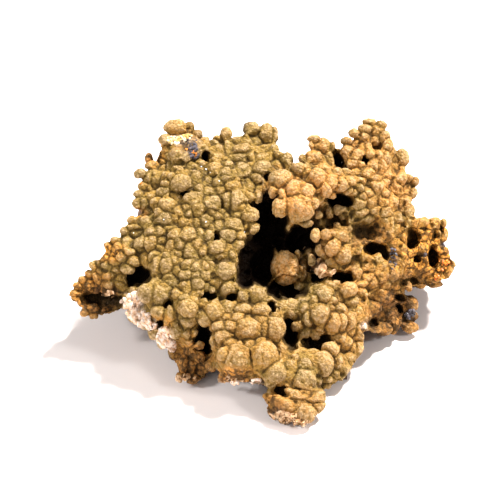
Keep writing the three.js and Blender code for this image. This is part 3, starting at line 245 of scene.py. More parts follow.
    (13.25, -15.5, 1.5, 1.5), (14.25, -14.25, 1, 0.75), (15.75, -14, 1, 1.25, -1.5),
    (19.5, -16.5, 1.5, 1.25), (21.25, -17.75, 1.5, 1.75), (22, -15.25, 1.25, 1.25), (23.75, -16, 1.5, 2),
    (24.25, -19, 1, 1.5), (22.5, -19, 1.25, 1.5), (21.75, -20.75, 1.25, 1), (17, -19.5, 2.25, 2),
    (18.5, -22.25, 1.5, 2.25), (15, -22.75, 2.75, 3, 0.5), (13, -20, 2, 1), (16.25, -26.5, 1.25, 1),
    (18.25, -25, 1, 1), (16.25, -28.25, 1.25, 1, -1),
    # left wing, its rust edge and the rim of its hollow end
    (-36.75, 2.5, 1.75, 1), (-38.5, 1.5, 1.75, 1.25), (-41, 2.25, 1.25, 1), (-42.25, 1.75, 1, 1.25),
    (-40.5, 0.25, 1, 1), (-39.25, 3.25, 1.25, 0.75), (-38.75, -1, 1.25, 1.25), (-37.25, -0.5, 1.25, 1),
    (-35.5, -1.25, 1.5, 1.25), (-36.25, 0.5, 1.25, 1), (-38.25, -3.25, 1.5, 1.25), (-36, -3, 1.25, 1.25),
    (-33.5, -1.5, 1.25, 0.75), (-41.25, -1.25, 1, 1.25), (-36.75, 8, 1.5, 1, -0.5),
    (-38.5, 6.5, 1.25, 1.25, -0.5), (-40.25, 4.75, 1.5, 0.75, -0.5), (-42, 3.5, 1, 0.75, -0.5),
    (-43.5, -0.5, 1, 1), (-45, -2, 1.25, 1), (-46.5, -3.5, 1, 1), (-47.25, -5.25, 1, 1),
    (-47.25, -7, 0.75, 1), (-46.25, -8.75, 0.75, 1), (-44.5, -10.25, 1.25, 1), (-42.25, -11, 1.25, 1),
    (-39.75, -11, 1.25, 0.75), (-37.25, -10.5, 0.75, 0.5), (-43.5, -3, 1.25, 1.25), (-42.5, -9, 1.5, 1.25),
    (-39.75, -8.75, 0.75, 1), (-41.75, -4.75, 1.25, 1, -1), (-39.25, -4.5, 1.25, 1, -0.5),
    (-37.5, -5.75, 1.5, 0.75),
    # white fringe
    (-32.5, -7, 1.5, 1.5), (-34.75, -7.25, 1, 0.75), (-32.25, -10.75, 1.5, 2), (-29, -13, 1.75, 1.25),
    (-26.5, -15.5, 1.75, 1.5), (-24.5, -17.5, 1.75, 1.75), (-23.25, -15.5, 1.25, 1.5),
    # right foot and left foot, bare matrix
    (29.5, -6.5, 3, 1.5), (27.5, -9, 2.5, 1.5), (31.5, -10.75, 3, 2.75), (33.25, -13.25, 1.5, 2.5),
    (37.5, -8.25, 2, 2.25), (37.25, -11.25, 2.25, 1.75), (37.5, -14, 2, 1.5),
    (30.75, -14.5, 2.25, 1.5, -0.5), (-19.75, -23.25, 1.25, 2), (-17.75, -23.5, 1.25, 2),
    (-20, -26, 1.5, 1.25), (-17.5, -26.75, 1.75, 1.25), (-15, -24, 1.75, 1.75, -1),
    (-15.5, -20.75, 1.75, 1.25), (-12.5, -23.25, 1.5, 1.5), (-20, -19.5, 1.5, 1.75), (-22.5, -20, 1, 2, -2),
    # the lobe in the open middle, and the slanted rolls of the bottom lobe
    (5.75, 1, 3.4, 4.1, 2.8), (45, 11, 1.2, 1.2, -1.5), (9.6, -3.2, 1.8, 1.5, -0.5),
    (11, -1.4, 1.4, 1.4, -0.5), (6, -33.2, 3.9, 1.6, 0.3, -42), (8.6, -30.4, 3.3, 1.2, 0, -24),
    (13, -31.3, 2.9, 1.4, 0, 35), (10.6, -35, 2.4, 2.3, 0.6), (14, -33.2, 2.7, 1.3, -0.3, 55),
    (3.4, -35.4, 2.6, 1.2, -1, -40),
]

# Holes and hollows of the face: (across, up, radius across, radius up, depth).
hollows = [
    # the open middle, and the dark space under the ridge
    (1.5, 12, 5.2, 9.5, 17), (0, 2, 4.2, 6, 16), (-3, 2.5, 3.2, 6, 13), (-4.3, -1, 2.2, 3.4, 10),
    (11, 6, 6.5, 6.5, 14), (6, -4, 5.6, 3, 11), (19.5, 18, 3.8, 1.6, 9), (17.5, 14, 3.6, 3.6, 4),
    (26, 10.2, 4, 2.5, 3), (28.5, 5.6, 3.4, 1.5, 7), (13.5, -1.6, 2.6, 1.1, 8), (20.3, -1.5, 3.2, 1.5, 9),
    (12.5, 14.5, 3, 3, 5),
    # crevices of the plate
    (-21, 27.3, 1.6, 0.9, 6), (-19.5, 20, 1.6, 0.9, 6), (-14.3, 29, 1, 1.4, 6), (-12.3, 23.8, 0.7, 1.2, 6),
    (1.3, 24, 1, 1.2, 6), (-10, 16.8, 1, 1, 6), (-11.5, 8.5, 1, 1.2, 6), (-30.5, 5.3, 1.4, 0.8, 6),
    (-30.9, -1, 3.4, 2.7, 9), (-23.5, -7.8, 1.2, 1.2, 6), (-13.6, -6, 2.1, 1.2, 7),
    (-7.5, -6.3, 1.3, 1.2, 6), (-14.6, -17.3, 2.3, 4.8, 11), (-25.4, -13, 0.9, 1.1, 5),
    (-27.1, 29.6, 1.7, 2.2, 5),
    # the hollow left end
    (-41, -6.8, 4.2, 2.7, 5), (-36.5, -7.5, 2.5, 1.8, 5),
    # front and lower middle
    (13.9, -17.6, 4.3, 2, 7), (7.2, -14.5, 2.3, 5, 8), (5.8, -29.5, 3.8, 1.3, 5), (2.3, -9, 1.2, 2, 6),
    (-1.2, -27.5, 2, 1, 4),
    # horn and shoulder
    (26, 28, 1.2, 1, 6), (28.8, 31.8, 1.2, 1, 6), (19.6, 28.4, 1.5, 3, 8), (30.8, 4.3, 1.3, 1.2, 6),
    (21.5, 25.9, 1.5, 0.9, 5),
    # right block and foot
    (37.9, 8.4, 1.7, 3, 6), (43.3, 3.5, 1.4, 2.6, 6), (39.1, 3, 0.9, 0.9, 4), (43.8, 9.8, 0.6, 1.1, 4),
    (27.8, -13.3, 1.7, 1.7, 7), (35.5, -6.3, 2.2, 1, 6), (37.3, -2.8, 2.2, 1.1, 6), (34.5, -9.5, 1, 1.5, 5),
]

# Columns that stand in the open middle: (across, up, out, radius across, radius up, radius out).
columns = [
    (6, 0.5, 21, 3, 3.4, 9.5), (10.3, 1, 19, 2.3, 4.6, 8.5), (17.5, 6, 23, 4.5, 4.5, 9),
    (12.2, 4, 19.5, 1.9, 2.8, 7.5), (8, 18.5, 27, 4.5, 4.5, 9.5), (27, 0.5, 22, 4, 3, 7),
]

ground = {
    "step": 0.36,  # spacing of its points
    "recess": 1.8,  # how far it lies under the crust
    "slab": 5,  # thickness of the sheet that carries the lumps
    "thickness": 42,  # and of the rock behind it
    "rounding": 20,  # distance from the edge at which the full thickness is reached
    "wing": (-27, -37, 9),  # the left wing thins out from, to, down to
    "block": (36, 46, 20),  # and so does the end of the right block
    "backRoughness": 1.6,
    "edgeInset": 0.9,
    "edgeBand": 3,  # width over which sheet and rock thin out at the edge
    "leastSlab": 0.5,
    "leastThickness": 1.5,
    "rockGap": 1.5,  # rock under the sheet at the edge, and how much deeper it lies inside
    "rockDrop": 4,
    "rockStep": 1.4,
    "rockInset": 0.3,
    "unevenness": 0.8,
    "width": 106,  # of the grids that the sheets start from
    "height": 86,
    "overlap": 1.5,  # of the left and the right piece
}

hollowRim = {
    "roughness": 0.5,
    "steepness": 1.3,
    "reach": 1.1,  # where a hollow starts, as a share of its radii, squared
    "margin": 1,  # hollows fade out this far inside the outline
    "fade": 2.5,
}

# Where the crust is parted into a left and a right piece: (up, across), from the crest down.
parting = [(40, 8.5), (26, 8), (24.5, 1.3), (-6, 1.2), (-9, 5.6), (-22, 5.8), (-28, 2), (-40, 0)]

depthTable = np.array(crustDepths, float)
outlineTable = np.array(outline, float)
partingTable = np.array(parting[::-1], float)


def faceDepth(across, up):
    # how far out the crust lies: the nearest depths weigh most
    across = np.asarray(across, float).ravel()
    up = np.asarray(up, float).ravel()
    result = np.empty(len(across))
    for start in range(0, len(across), 20000):
        part = slice(start, start + 20000)
        gap = (across[part, None] - depthTable[:, 0]) ** 2 + (up[part, None] - depthTable[:, 1]) ** 2
        weight = 1 / (0.5 + gap) ** 2
        result[part] = (weight * depthTable[:, 2]).sum(1) / weight.sum(1)
    return result


def edgeDistance(across, up):
    # distance to the outline, negative outside it
    across = np.asarray(across, float).ravel()
    up = np.asarray(up, float).ravel()
    inside = np.zeros(len(across), bool)
    nearest = np.full(len(across), 1e9)
    for i in range(len(outlineTable)):
        a1, u1 = outlineTable[i]
        a2, u2 = outlineTable[(i + 1) % len(outlineTable)]
        if u1 != u2:
            inside ^= ((u1 > up) != (u2 > up)) & (across < a1 + (up - u1) * (a2 - a1) / (u2 - u1))
        length = (a2 - a1) ** 2 + (u2 - u1) ** 2
        share = np.clip(((across - a1) * (a2 - a1) + (up - u1) * (u2 - u1)) / length, 0, 1)
        gap = np.hypot(across - a1 - share * (a2 - a1), up - u1 - share * (u2 - u1))
        nearest = np.minimum(nearest, gap)
    return np.where(inside, nearest, -nearest)


def rightOfParting(across, up):
    return np.asarray(across, float) - np.interp(up, partingTable[:, 0], partingTable[:, 1])


def waves(across, up, scale, seed, octaves=4):
    return np.array([noise.fractal((a * scale, u * scale, seed), 1, 2, octaves) for a, u in zip(across, up)])


def hollowDepth(across, up):
    # how far the ground drops into a hollow, steep and uneven at its rim
    drop = np.zeros(len(across))
    rim = hollowRim["roughness"] * waves(across, up, 0.5, 5, 3)
    for a, u, radiusAcross, radiusUp, depth in hollows:
        share = ((across - a) / radiusAcross) ** 2 + ((up - u) / radiusUp) ** 2
        steep = hollowRim["steepness"] * (hollowRim["reach"] - share + rim)
        drop = np.maximum(drop, depth * np.clip(steep, 0, 1))
    return drop * np.clip((edgeDistance(across, up) - hollowRim["margin"]) / hollowRim["fade"], 0, 1)


def groundThickness(across, up, inside):
    share = np.clip(inside / ground["rounding"], 0, 1)
    full = np.full(len(across), float(ground["thickness"]))
    for start, end, least in (ground["wing"], ground["block"]):
        along = np.clip((across - start) / (end - start), 0, 1)
        full = np.minimum(full, ground["thickness"] + along * (least - ground["thickness"]))
    return ground["leastThickness"] + full * (1 - (1 - share) ** 2) ** 0.75


faceTurn = Matrix.Rotation(math.radians(90 - face["tilt"]), 4, "X")
faceShift = Matrix.Translation((face["middle"][0], face["middle"][1], 0))
faceToRock = Matrix.Scale(mm, 4) @ faceShift @ faceTurn
rockToFace = faceToRock.inverted()


def addMesh(into, part):
    # puts a small mesh into the larger one
    scratch = bpy.data.meshes.new("scratch")
    part.to_mesh(scratch)
    part.free()
    into.from_mesh(scratch)
    bpy.data.meshes.remove(scratch)


def addBall(into, ball):
    # one squashed ball: (across, up, out, radius across, radius up, radius out, leans and turn)
    across, up, out, *radii = ball[:6]
    lean = ball[6] if len(ball) > 6 else (0, 0, 0)
    turn = Euler(lean).to_matrix().to_4x4()
    part = bmesh.new()
    place = Matrix.Translation((across, up, out)) @ turn @ Matrix.Diagonal((*radii, 1))
    bmesh.ops.create_icosphere(part, subdivisions=3, radius=1, matrix=place)
    addMesh(into, part)


def buildSheet(into, step, inRegion, top, bottom):
    # a closed sheet over part of the face; top and bottom give its out values
    columnCount = int(ground["width"] / step)
    rowCount = int(ground["height"] / step)
    sheet = bmesh.new()
    bmesh.ops.create_grid(sheet, x_segments=columnCount, y_segments=rowCount, size=1)
    spread = Matrix.Diagonal((columnCount * step / 2, rowCount * step / 2, 1, 1))
    bmesh.ops.transform(sheet, matrix=spread, verts=sheet.verts)
    places = np.array([v.co[:2] for v in sheet.verts])
    kept = inRegion(places[:, 0], places[:, 1])
    spare = [v for v, keep in zip(sheet.verts, kept) if not keep]
    bmesh.ops.delete(sheet, geom=spare, context="VERTS")
    upper = list(sheet.verts)
    made = bmesh.ops.extrude_face_region(sheet, geom=list(sheet.faces), use_keep_orig=True)
    lower = [v for v in made["geom"] if isinstance(v, bmesh.types.BMVert)]
    for side, level in ((upper, top), (lower, bottom)):
        across = np.array([v.co.x for v in side])
        up = np.array([v.co.y for v in side])
        for v, out in zip(side, level(across, up)):
            v.co.z = out
    loose = [v for v in sheet.verts if not v.link_faces]
    bmesh.ops.delete(sheet, geom=loose, context="VERTS")
    bmesh.ops.recalc_face_normals(sheet, faces=sheet.faces)
    addMesh(into, sheet)


def insideOf(across, up):
    return np.maximum(edgeDistance(across, up) - ground["edgeInset"], 0)


def groundTop(across, up):
    uneven = ground["unevenness"] * waves(across, up, 0.35, 1)
    return faceDepth(across, up) - ground["recess"] - hollowDepth(across, up) + uneven


def inward(across, up):
    return np.clip(insideOf(across, up) / ground["edgeBand"], 0, 1)


def slabBottom(across, up):
    return groundTop(across, up) - ground["leastSlab"] - ground["slab"] * inward(across, up)


def rockTop(across, up):
    return groundTop(across, up) - ground["rockGap"] - ground["rockDrop"] * inward(across, up)


def rockBottom(across, up):
    thick = groundThickness(across, up, insideOf(across, up))
    rough = ground["backRoughness"] * (1.5 * waves(across, up, 0.12, 7, 5) - 0.5)
    return faceDepth(across, up) - ground["recess"] - thick + rough


lumpShape = {
    "spread": 1.12,  # how much wider than drawn, so that neighbours touch
    "stalk": 0.85,  # a lump's depth as a share of its mean radius
    "lean": 0.3,
    "unevenness": (-0.3, 0.35),
    "leastBall": 0.9,  # smaller lumps are domes of the sheet alone
    "blockFrom": 37,  # on the fine-grained right block only the rim has balls
    "rimWidth": 2.6,
}


def lumpBalls(dice):
    balls = []
    for row in lumps:
        across, up, radiusAcross, radiusUp = row[:4]
        lift = row[4] if len(row) > 4 else 0
        radius = math.sqrt(radiusAcross * radiusUp)
        deep = lumpShape["stalk"] * radius
        top = float(faceDepth(across, up)[0]) + lift + dice.uniform(*lumpShape["unevenness"])
        wide = radiusAcross * lumpShape["spread"]
        high = radiusUp * lumpShape["spread"]
        turn = math.radians(row[5]) if len(row) > 5 else 0
        leans = [dice.uniform(-1, 1) * lumpShape["lean"] for i in range(2)]
        balls.append((across, up, top - deep, wide, high, deep, (*leans, turn)))
    return balls


# Knobs that fill the crust between the lumps: (across, up, radius across, radius up, spacing, radius, lift).
knobPatches = [
    (0, 0, 60, 50, 1.6, 1, -0.8), (36, 19, 11, 15, 1.5, 0.95, -0.3), (26, 25, 7, 7, 1.4, 0.9, -0.5),
    (42, 4, 9, 12, 1.05, 0.66, 0.65), (33, -10, 8, 8, 1.15, 0.75, 0.1), (-41, -3, 8, 9, 1.2, 0.75, -0.6),
    (-18, -23, 7, 7, 1.3, 0.8, -0.6), (31, 3, 7, 9, 1.1, 0.7, 0.35), (34, 17, 6, 8, 1.2, 0.75, 0.2),
]

knobSpread = {
    "rowSpacing": 0.87,
    "stray": (0.32, 0.3),  # random shift across and up, as a share of the spacing
    "ragged": 0.3,
    "sizes": (0.75, 1.35),
    "lifts": (-0.35, 0.3),
}

dome = {
    "drop": 0.41,  # how far a lump falls off at its rim, as a share of its radius
    "knobDrop": 1.2,
    "power": 3,
    "wider": 1.16,  # domes against the balls they lie over
    "reach": 2,
    "recess": 2.6,
}


def knobDomes(dice):
    domes = []
    rowSpacing = knobSpread["rowSpacing"]
    stray, strayUp = knobSpread["stray"]
    for a, u, radiusAcross, radiusUp, spacing, radius, lift in knobPatches:
        rows = int(radiusUp / spacing / rowSpacing)
        columnsHalf = int(radiusAcross / spacing)
        for row in range(-rows, rows + 1):
            for column in range(-columnsHalf, columnsHalf + 1):
                x = a + (column + 0.5 * (row % 2) + dice.uniform(-stray, stray)) * spacing
                y = u + (row * rowSpacing + dice.uniform(-strayUp, strayUp)) * spacing
                share = ((x - a) / radiusAcross) ** 2 + ((y - u) / radiusUp) ** 2
                if share < 1 + dice.uniform(-knobSpread["ragged"], 0):
                    size = radius * dice.uniform(*knobSpread["sizes"])
                    high = lift + dice.uniform(*knobSpread["lifts"])
                    domes.append((x, y, high, size, size, 0, dome["knobDrop"]))
    return domes


balls = lumpBalls(random.Random(11))
domes = knobDomes(random.Random(5))
for across, up, out, wide, high, deep, lean in balls:
    lift = out + deep - float(faceDepth(across, up)[0])
    domes.append((across, up, lift, wide * dome["wider"], high * dome["wider"], lean[2], dome["drop"]))


def crustTop(across, up):
    # the upper envelope of all domes, so that neighbours meet in a thin crease
    top = np.full(len(across), -float(dome["recess"]))
    for a, u, lift, radiusAcross, radiusUp, turn, drop in domes:
        reach = dome["reach"] * max(radiusAcross, radiusUp)
        near = np.flatnonzero((np.abs(across - a) < reach) & (np.abs(up - u) < reach))
        aside = across[near] - a
        above = up[near] - u
        share = ((aside * math.cos(turn) + above * math.sin(turn)) / radiusAcross) ** 2
        share += ((above * math.cos(turn) - aside * math.sin(turn)) / radiusUp) ** 2
        fall = drop * math.sqrt(radiusAcross * radiusUp) * share ** (dome["power"] / 2)
        top[near] = np.maximum(top[near], lift - fall)
    return faceDepth(across, up) + top - hollowDepth(across, up)


skin = {
    "voxel": 0.3,
    "backVoxel": 0.5,
    "faces": 190000,  # most triangles in a piece
    "creaseDepth": 0.4,  # how far the joints between lumps are cut in
    "creaseWidth": 0.2,
    "lobes": ((2.4, 0.4), (1.15, 0.3)),  # swellings on the lumps: size and height
    "warp": 0.2,
    "grit": 0.07,
    "neighbours": 8,  # lumps looked at for the nearest joint
}

rockShape = {
    "swells": 1.3,
    "grit": 0.25,
    "pitDepth": 1.1,
    "pitSize": 2.6,
    "pitSteepness": 3,
    "knobs": ((5.5, 1), (1.9, 0.4)),  # size and height
}


def linked(name, data):
    item = bpy.data.objects.new(name, data)
    bpy.context.scene.collection.objects.link(item)
    return item


def pieceFrom(shape, name):
    # a shape in face millimetres becomes an object in the frame's metres
    mesh = bpy.data.meshes.new(name)
    shape.transform(faceToRock)
    shape.to_mesh(mesh)
    shape.free()
    return linked(name, mesh)


def remeshed(source, name, voxel):
    piece = pieceFrom(source, name)
    remesh = piece.modifiers.new("remesh", "REMESH")
    remesh.mode = "VOXEL"
    remesh.voxel_size = voxel * mm
    takeModifiers(piece)
    return piece


def takeModifiers(piece):
    graph = bpy.context.evaluated_depsgraph_get()
    done = bpy.data.meshes.new_from_object(piece.evaluated_get(graph))
    old = piece.data
    piece.modifiers.clear()
    piece.data = done
    bpy.data.meshes.remove(old)
    done.name = piece.name


def ballField(points, balls):
    # for each point: the ball it lies on, and how far the joint with the next ball is, in mm
    centres = np.array([ball[:3] for ball in balls])
    radii = np.array([ball[3:6] for ball in balls])
    tree = KDTree(len(balls))
    for i, centre in enumerate(centres):
        tree.insert(centre, i)
    tree.balance()
    near = np.array([[hit[1] for hit in tree.find_n(point, skin["neighbours"])] for point in points])
    reach = np.linalg.norm((points[:, None, :] - centres[near]) / radii[near], axis=2)
    order = np.argsort(reach, axis=1)
    first = np.take_along_axis(near, order[:, :1], 1)[:, 0]
    reach = np.take_along_axis(reach, order, 1)
    joint = (reach[:, 1] - reach[:, 0]) * radii[first].mean(1) / 2
    return first, joint


def vertexRows(mesh, kind):
    rows = np.empty(len(mesh.vertices) * 3)
    mesh.vertices.foreach_get(kind, rows)
    return rows.reshape(-1, 3)


def toFace(points):
    turn = np.array(rockToFace)
    return points @ turn[:3, :3].T + turn[:3, 3]


def rockSwelling(at):
    # broken faces, knobs and pits of the bare rock
    bent = at + 1.5 * noise.noise_vector(at / 5)
    height = rockShape["swells"] * noise.fractal(at / 9, 1, 2, 3)
    height += rockShape["grit"] * noise.fractal(at / 1.5, 1, 2, 3)
    pit = max(noise.noise(bent / rockShape["pitSize"]) - 0.25, 0)
    height -= rockShape["pitDepth"] * pit * rockShape["pitSteepness"]
    for size, tall in rockShape["knobs"]:
        height += tall * (0.2 - noise.voronoi(bent / size)[0][0] ** 2)
    return height


def swelling(at):
    # rounded swellings in two sizes, over a slow warp, with grit on top
    height = skin["warp"] * noise.fractal(at / 3.5, 1, 2, 2)
    height += skin["grit"] * noise.fractal(at * 1.7, 1, 2, 3)
    bent = at + 0.5 * noise.noise_vector(at / 1.5)
    for size, tall in skin["lobes"]:
        height += tall * (0.18 - noise.voronoi(bent / size)[0][0] ** 2)
    return height


def refine(piece, balls=None):
    # cut in the joints between lumps, raise fine knobs and grit, and rest it on the floor
    mesh = piece.data
    points = vertexRows(mesh, "co")
    normals = vertexRows(mesh, "normal")
    swell = swelling if balls else rockSwelling
    push = np.array([swell(Vector(p) / mm) for p in points])
    if balls:
        joint = ballField(toFace(points), balls)[1]
        push -= skin["creaseDepth"] * np.exp(-((joint / skin["creaseWidth"]) ** 2))
    points = points + normals * push[:, None] * mm
    points[:, 2] = np.maximum(points[:, 2], 0)
    mesh.vertices.foreach_set("co", points.ravel())
    mesh.update()
    triangles = sum(len(p.vertices) - 2 for p in mesh.polygons)
    print(piece.name, "has", triangles, "triangles before thinning")
    if triangles > skin["faces"]:
        thin = piece.modifiers.new("thin", "DECIMATE")
        thin.ratio = skin["faces"] / triangles
        takeModifiers(piece)
    piece.data.polygons.foreach_set("use_smooth", [True] * len(piece.data.polygons))


# Areas of the face that differ from plain crust: (across, up, radius across, radius up, strength).
areas = {
    "tan": [
        (8, 19, 8, 7, 1), (16, 22, 8, 5, 0.9), (13, 31, 4, 4, 0.7), (26, 30, 9, 8, 0.7), (33, 22, 8, 9, 0.8),
        (17, 7, 6, 6, 0.7), (6, 1, 5, 5, 1), (24, -2, 8, 5, 0.7), (20, -15, 9, 9, 0.5), (10, -33, 7, 5, 0.5),
        (-20, 34, 6, 4, 0.35), (-44, -6, 5, 7, 0.5), (-4, -16, 15, 9, 0.35), (8, -31, 8, 4, 0.5),
    ],
    "rust": [
        (42, 4, 8, 10, 0.95), (35, 5, 5, 7, 0.6), (34, -10, 8, 8, 0.9), (-39, 5, 5, 2.5, 0.9),
        (-27.5, 29.5, 3, 3, 1), (-18, -23, 6, 6, 0.9), (3, -34, 4, 4, 0.7), (-31, 15, 2, 1.5, 0.8),
        (-43, -6, 6, 6, 0.95), (-7, -26, 6, 3, 0.9), (29, 8, 6, 5, 0.7), (-25, -13, 3, 2.5, 0.6),
        (38, 0, 10, 3, 0.5),
    ],
    "pale": [
        (-32, -9, 2.6, 3.6, 1), (-28.5, -13.2, 2.4, 1.6, 1), (-24.5, -17, 2.6, 3, 0.9),
        (-21, 33.3, 3.2, 1.3, 0.8), (-7.5, -28, 2.5, 1.2, 0.9), (-1.5, -28.5, 2.4, 1.4, 0.8),
        (25.5, -13.5, 1, 1, 0.8), (-34.7, -7.2, 1.2, 0.8, 0.9), (4, -36, 3, 1.6, 0.5),
    ],
    "brown": [
        (34, -10, 8, 7, 0.9), (-18, -24, 7, 6, 0.8), (-41, -7, 6, 5, 1), (-7, -27, 6, 2.5, 0.9),
        (3, -35, 4, 4, 0.9), (8, -33, 6, 4, 0.2), (27, 9, 6, 3.5, 0.7), (19, 12, 5, 3, 0.3),
        (38, -2, 9, 2.5, 0.5), (-27.5, 29.5, 2, 2, 0.8), (28, -13, 3, 3, 0.8),
    ],
    "grey": [
        (-18, 31.3, 2.6, 3, 0.9), (33, 3.5, 1.6, 3, 0.7), (41.2, 4.3, 0.8, 0.8, 0.8),
        (46, 6.7, 0.8, 0.8, 0.7), (37.6, -10.8, 1.6, 1.3, 0.9),
    ],
}

# Deeper lumps that still catch the light, where the painted shade of depth is lessened: (across, up, reach,
# lift).
openSpots = [(6, 0.5, 4.5, 5), (16, 6, 6, 3), (16, 0, 4, 1.5)]

# Depths in mm under the face, or under the smoothed surface, at which each shade starts, and its range. Deep,
# matrix, fine and broad set painted shade in hollows and creases, and fine and broad also set painted
# highlights on raised parts.
shades = {
    "deep": (0.6, 4),
    "matrix": (6, 3),
    "fine": (3, 0.16),  # rounds of smoothing, range
    "broad": (25, 0.9),
    "patch": 6,  # patches fade out this far down
    "patchEdge": (1.6, 1.3, 0.5),  # where a patch fades, how fast, and how raggedly
    "rockFront": 10.5,  # rock less deep than this, and this far from the edge, is seen in the hollows
    "rockEdge": 4,
}


def sunkBelow(mesh, rounds):
    # how far each point lies below the surface smoothed over its surroundings, in mm
    points = vertexRows(mesh, "co") / mm
    ends = np.empty(len(mesh.edges) * 2, np.int32)
    mesh.edges.foreach_get("vertices", ends)
    ends = ends.reshape(-1, 2)
    ends = np.concatenate([ends, ends[:, ::-1]])
    neighbours = np.bincount(ends[:, 0], minlength=len(points))
    smooth = points.copy()
    for i in range(rounds):
        sums = [np.bincount(ends[:, 0], smooth[ends[:, 1], k], len(points)) for k in range(3)]
        total = np.stack(sums, 1)
        smooth = 0.4 * smooth + 0.6 * total / np.maximum(neighbours, 1)[:, None]
    return ((smooth - points) * vertexRows(mesh, "normal")).sum(1)


def paint(piece, balls=None):
    # per-point values that the material mixes its finishes by, among them the depths and curvatures that set
    # painted shade and painted highlight
    mesh = piece.data
    place = toFace(vertexRows(mesh, "co"))
    across, up, out = place.T
    count = len(across)
    depth = faceDepth(across, up) - out
    wobble = waves(across, up, 0.5, 3, 3)
    # painted shade: the deeper under the face, the darker
    start, reach = shades["deep"]
    sunkShade = depth - start
    for a, u, radius, lift in openSpots:
        sunkShade -= lift * np.exp(-((across - a) ** 2 + (up - u) ** 2) / radius ** 2)
    values = {"deep": np.clip(sunkShade / reach, 0, 1)}
    full, fade, ragged = shades["patchEdge"]
    for name, spots in areas.items():
        share = np.zeros(count)
        for a, u, radiusAcross, radiusUp, strength in spots:
            gap = np.sqrt(((across - a) / radiusAcross) ** 2 + ((up - u) / radiusUp) ** 2)
            share = np.maximum(share, strength * np.clip(full - fade * gap + ragged * wobble, 0, 1))
        values[name] = share * np.clip(2 - depth / shades["patch"], 0, 1)
    # the matrix deep in the hollows is painted near black, as shade
    start, reach = shades["matrix"]
    values["matrix"] = np.clip((depth - start) / reach, 0, 1)
    values["tint"] = np.full(count, 0.5)
    front = depth < shades["rockFront"] + hollowDepth(across, up)
    front &= insideOf(across, up) > shades["rockEdge"]
    values["back"] = np.full(count, 0) if balls else np.where(front, 0, 1)
    for name in ("fine", "broad"):
        rounds, reach = shades[name]
        values[name] = np.clip(0.5 + sunkBelow(mesh, rounds) / reach, 0, 1)
    if balls:
        which = ballField(place, balls)[0]
        tints = np.array([random.Random(i).random() for i in range(len(balls))])
        values["tint"] = tints[which]
    for name, value in values.items():
        layer = mesh.attributes.new(name, "FLOAT", "POINT")
        layer.data.foreach_set("value", value.astype(np.float32))


crustFinish = {
    "olive": (0.275, 0.168, 0.038),
    "oliveDark": (0.14, 0.086, 0.018),
    "gold": (0.37, 0.2, 0.038),
    "tan": (0.54, 0.23, 0.052),
    "rust": (0.74, 0.31, 0.05),
    "brown": (0.13, 0.06, 0.022),
    "umber": (0.06, 0.028, 0.012),
    "ochre": (0.32, 0.16, 0.04),
    # near black: the matrix deep in the hollows, painted as shade
    "matrix": (0.014, 0.007, 0.003),
    "pale": (0.55, 0.42, 0.3),
    # pale dust, also used as painted highlight on raised parts
    "dustAndHighlight": (0.54, 0.365, 0.195),
    "grey": (0.04, 0.035, 0.042),
    # painted shade for creases, hollows and pores
    "paintedShade": (0.032, 0.018, 0.006),
    "roughness": (0.36, 0.68),
    "shine": 0.1,
    "bump": 0.75,
    "bumpDistance": 0.0005,
}


def newMaterial(name):
    material = bpy.data.materials.new(name)
    material.use_nodes = True
    tree = material.node_tree
    return material, tree.nodes, tree.links, tree.nodes["Principled BSDF"]


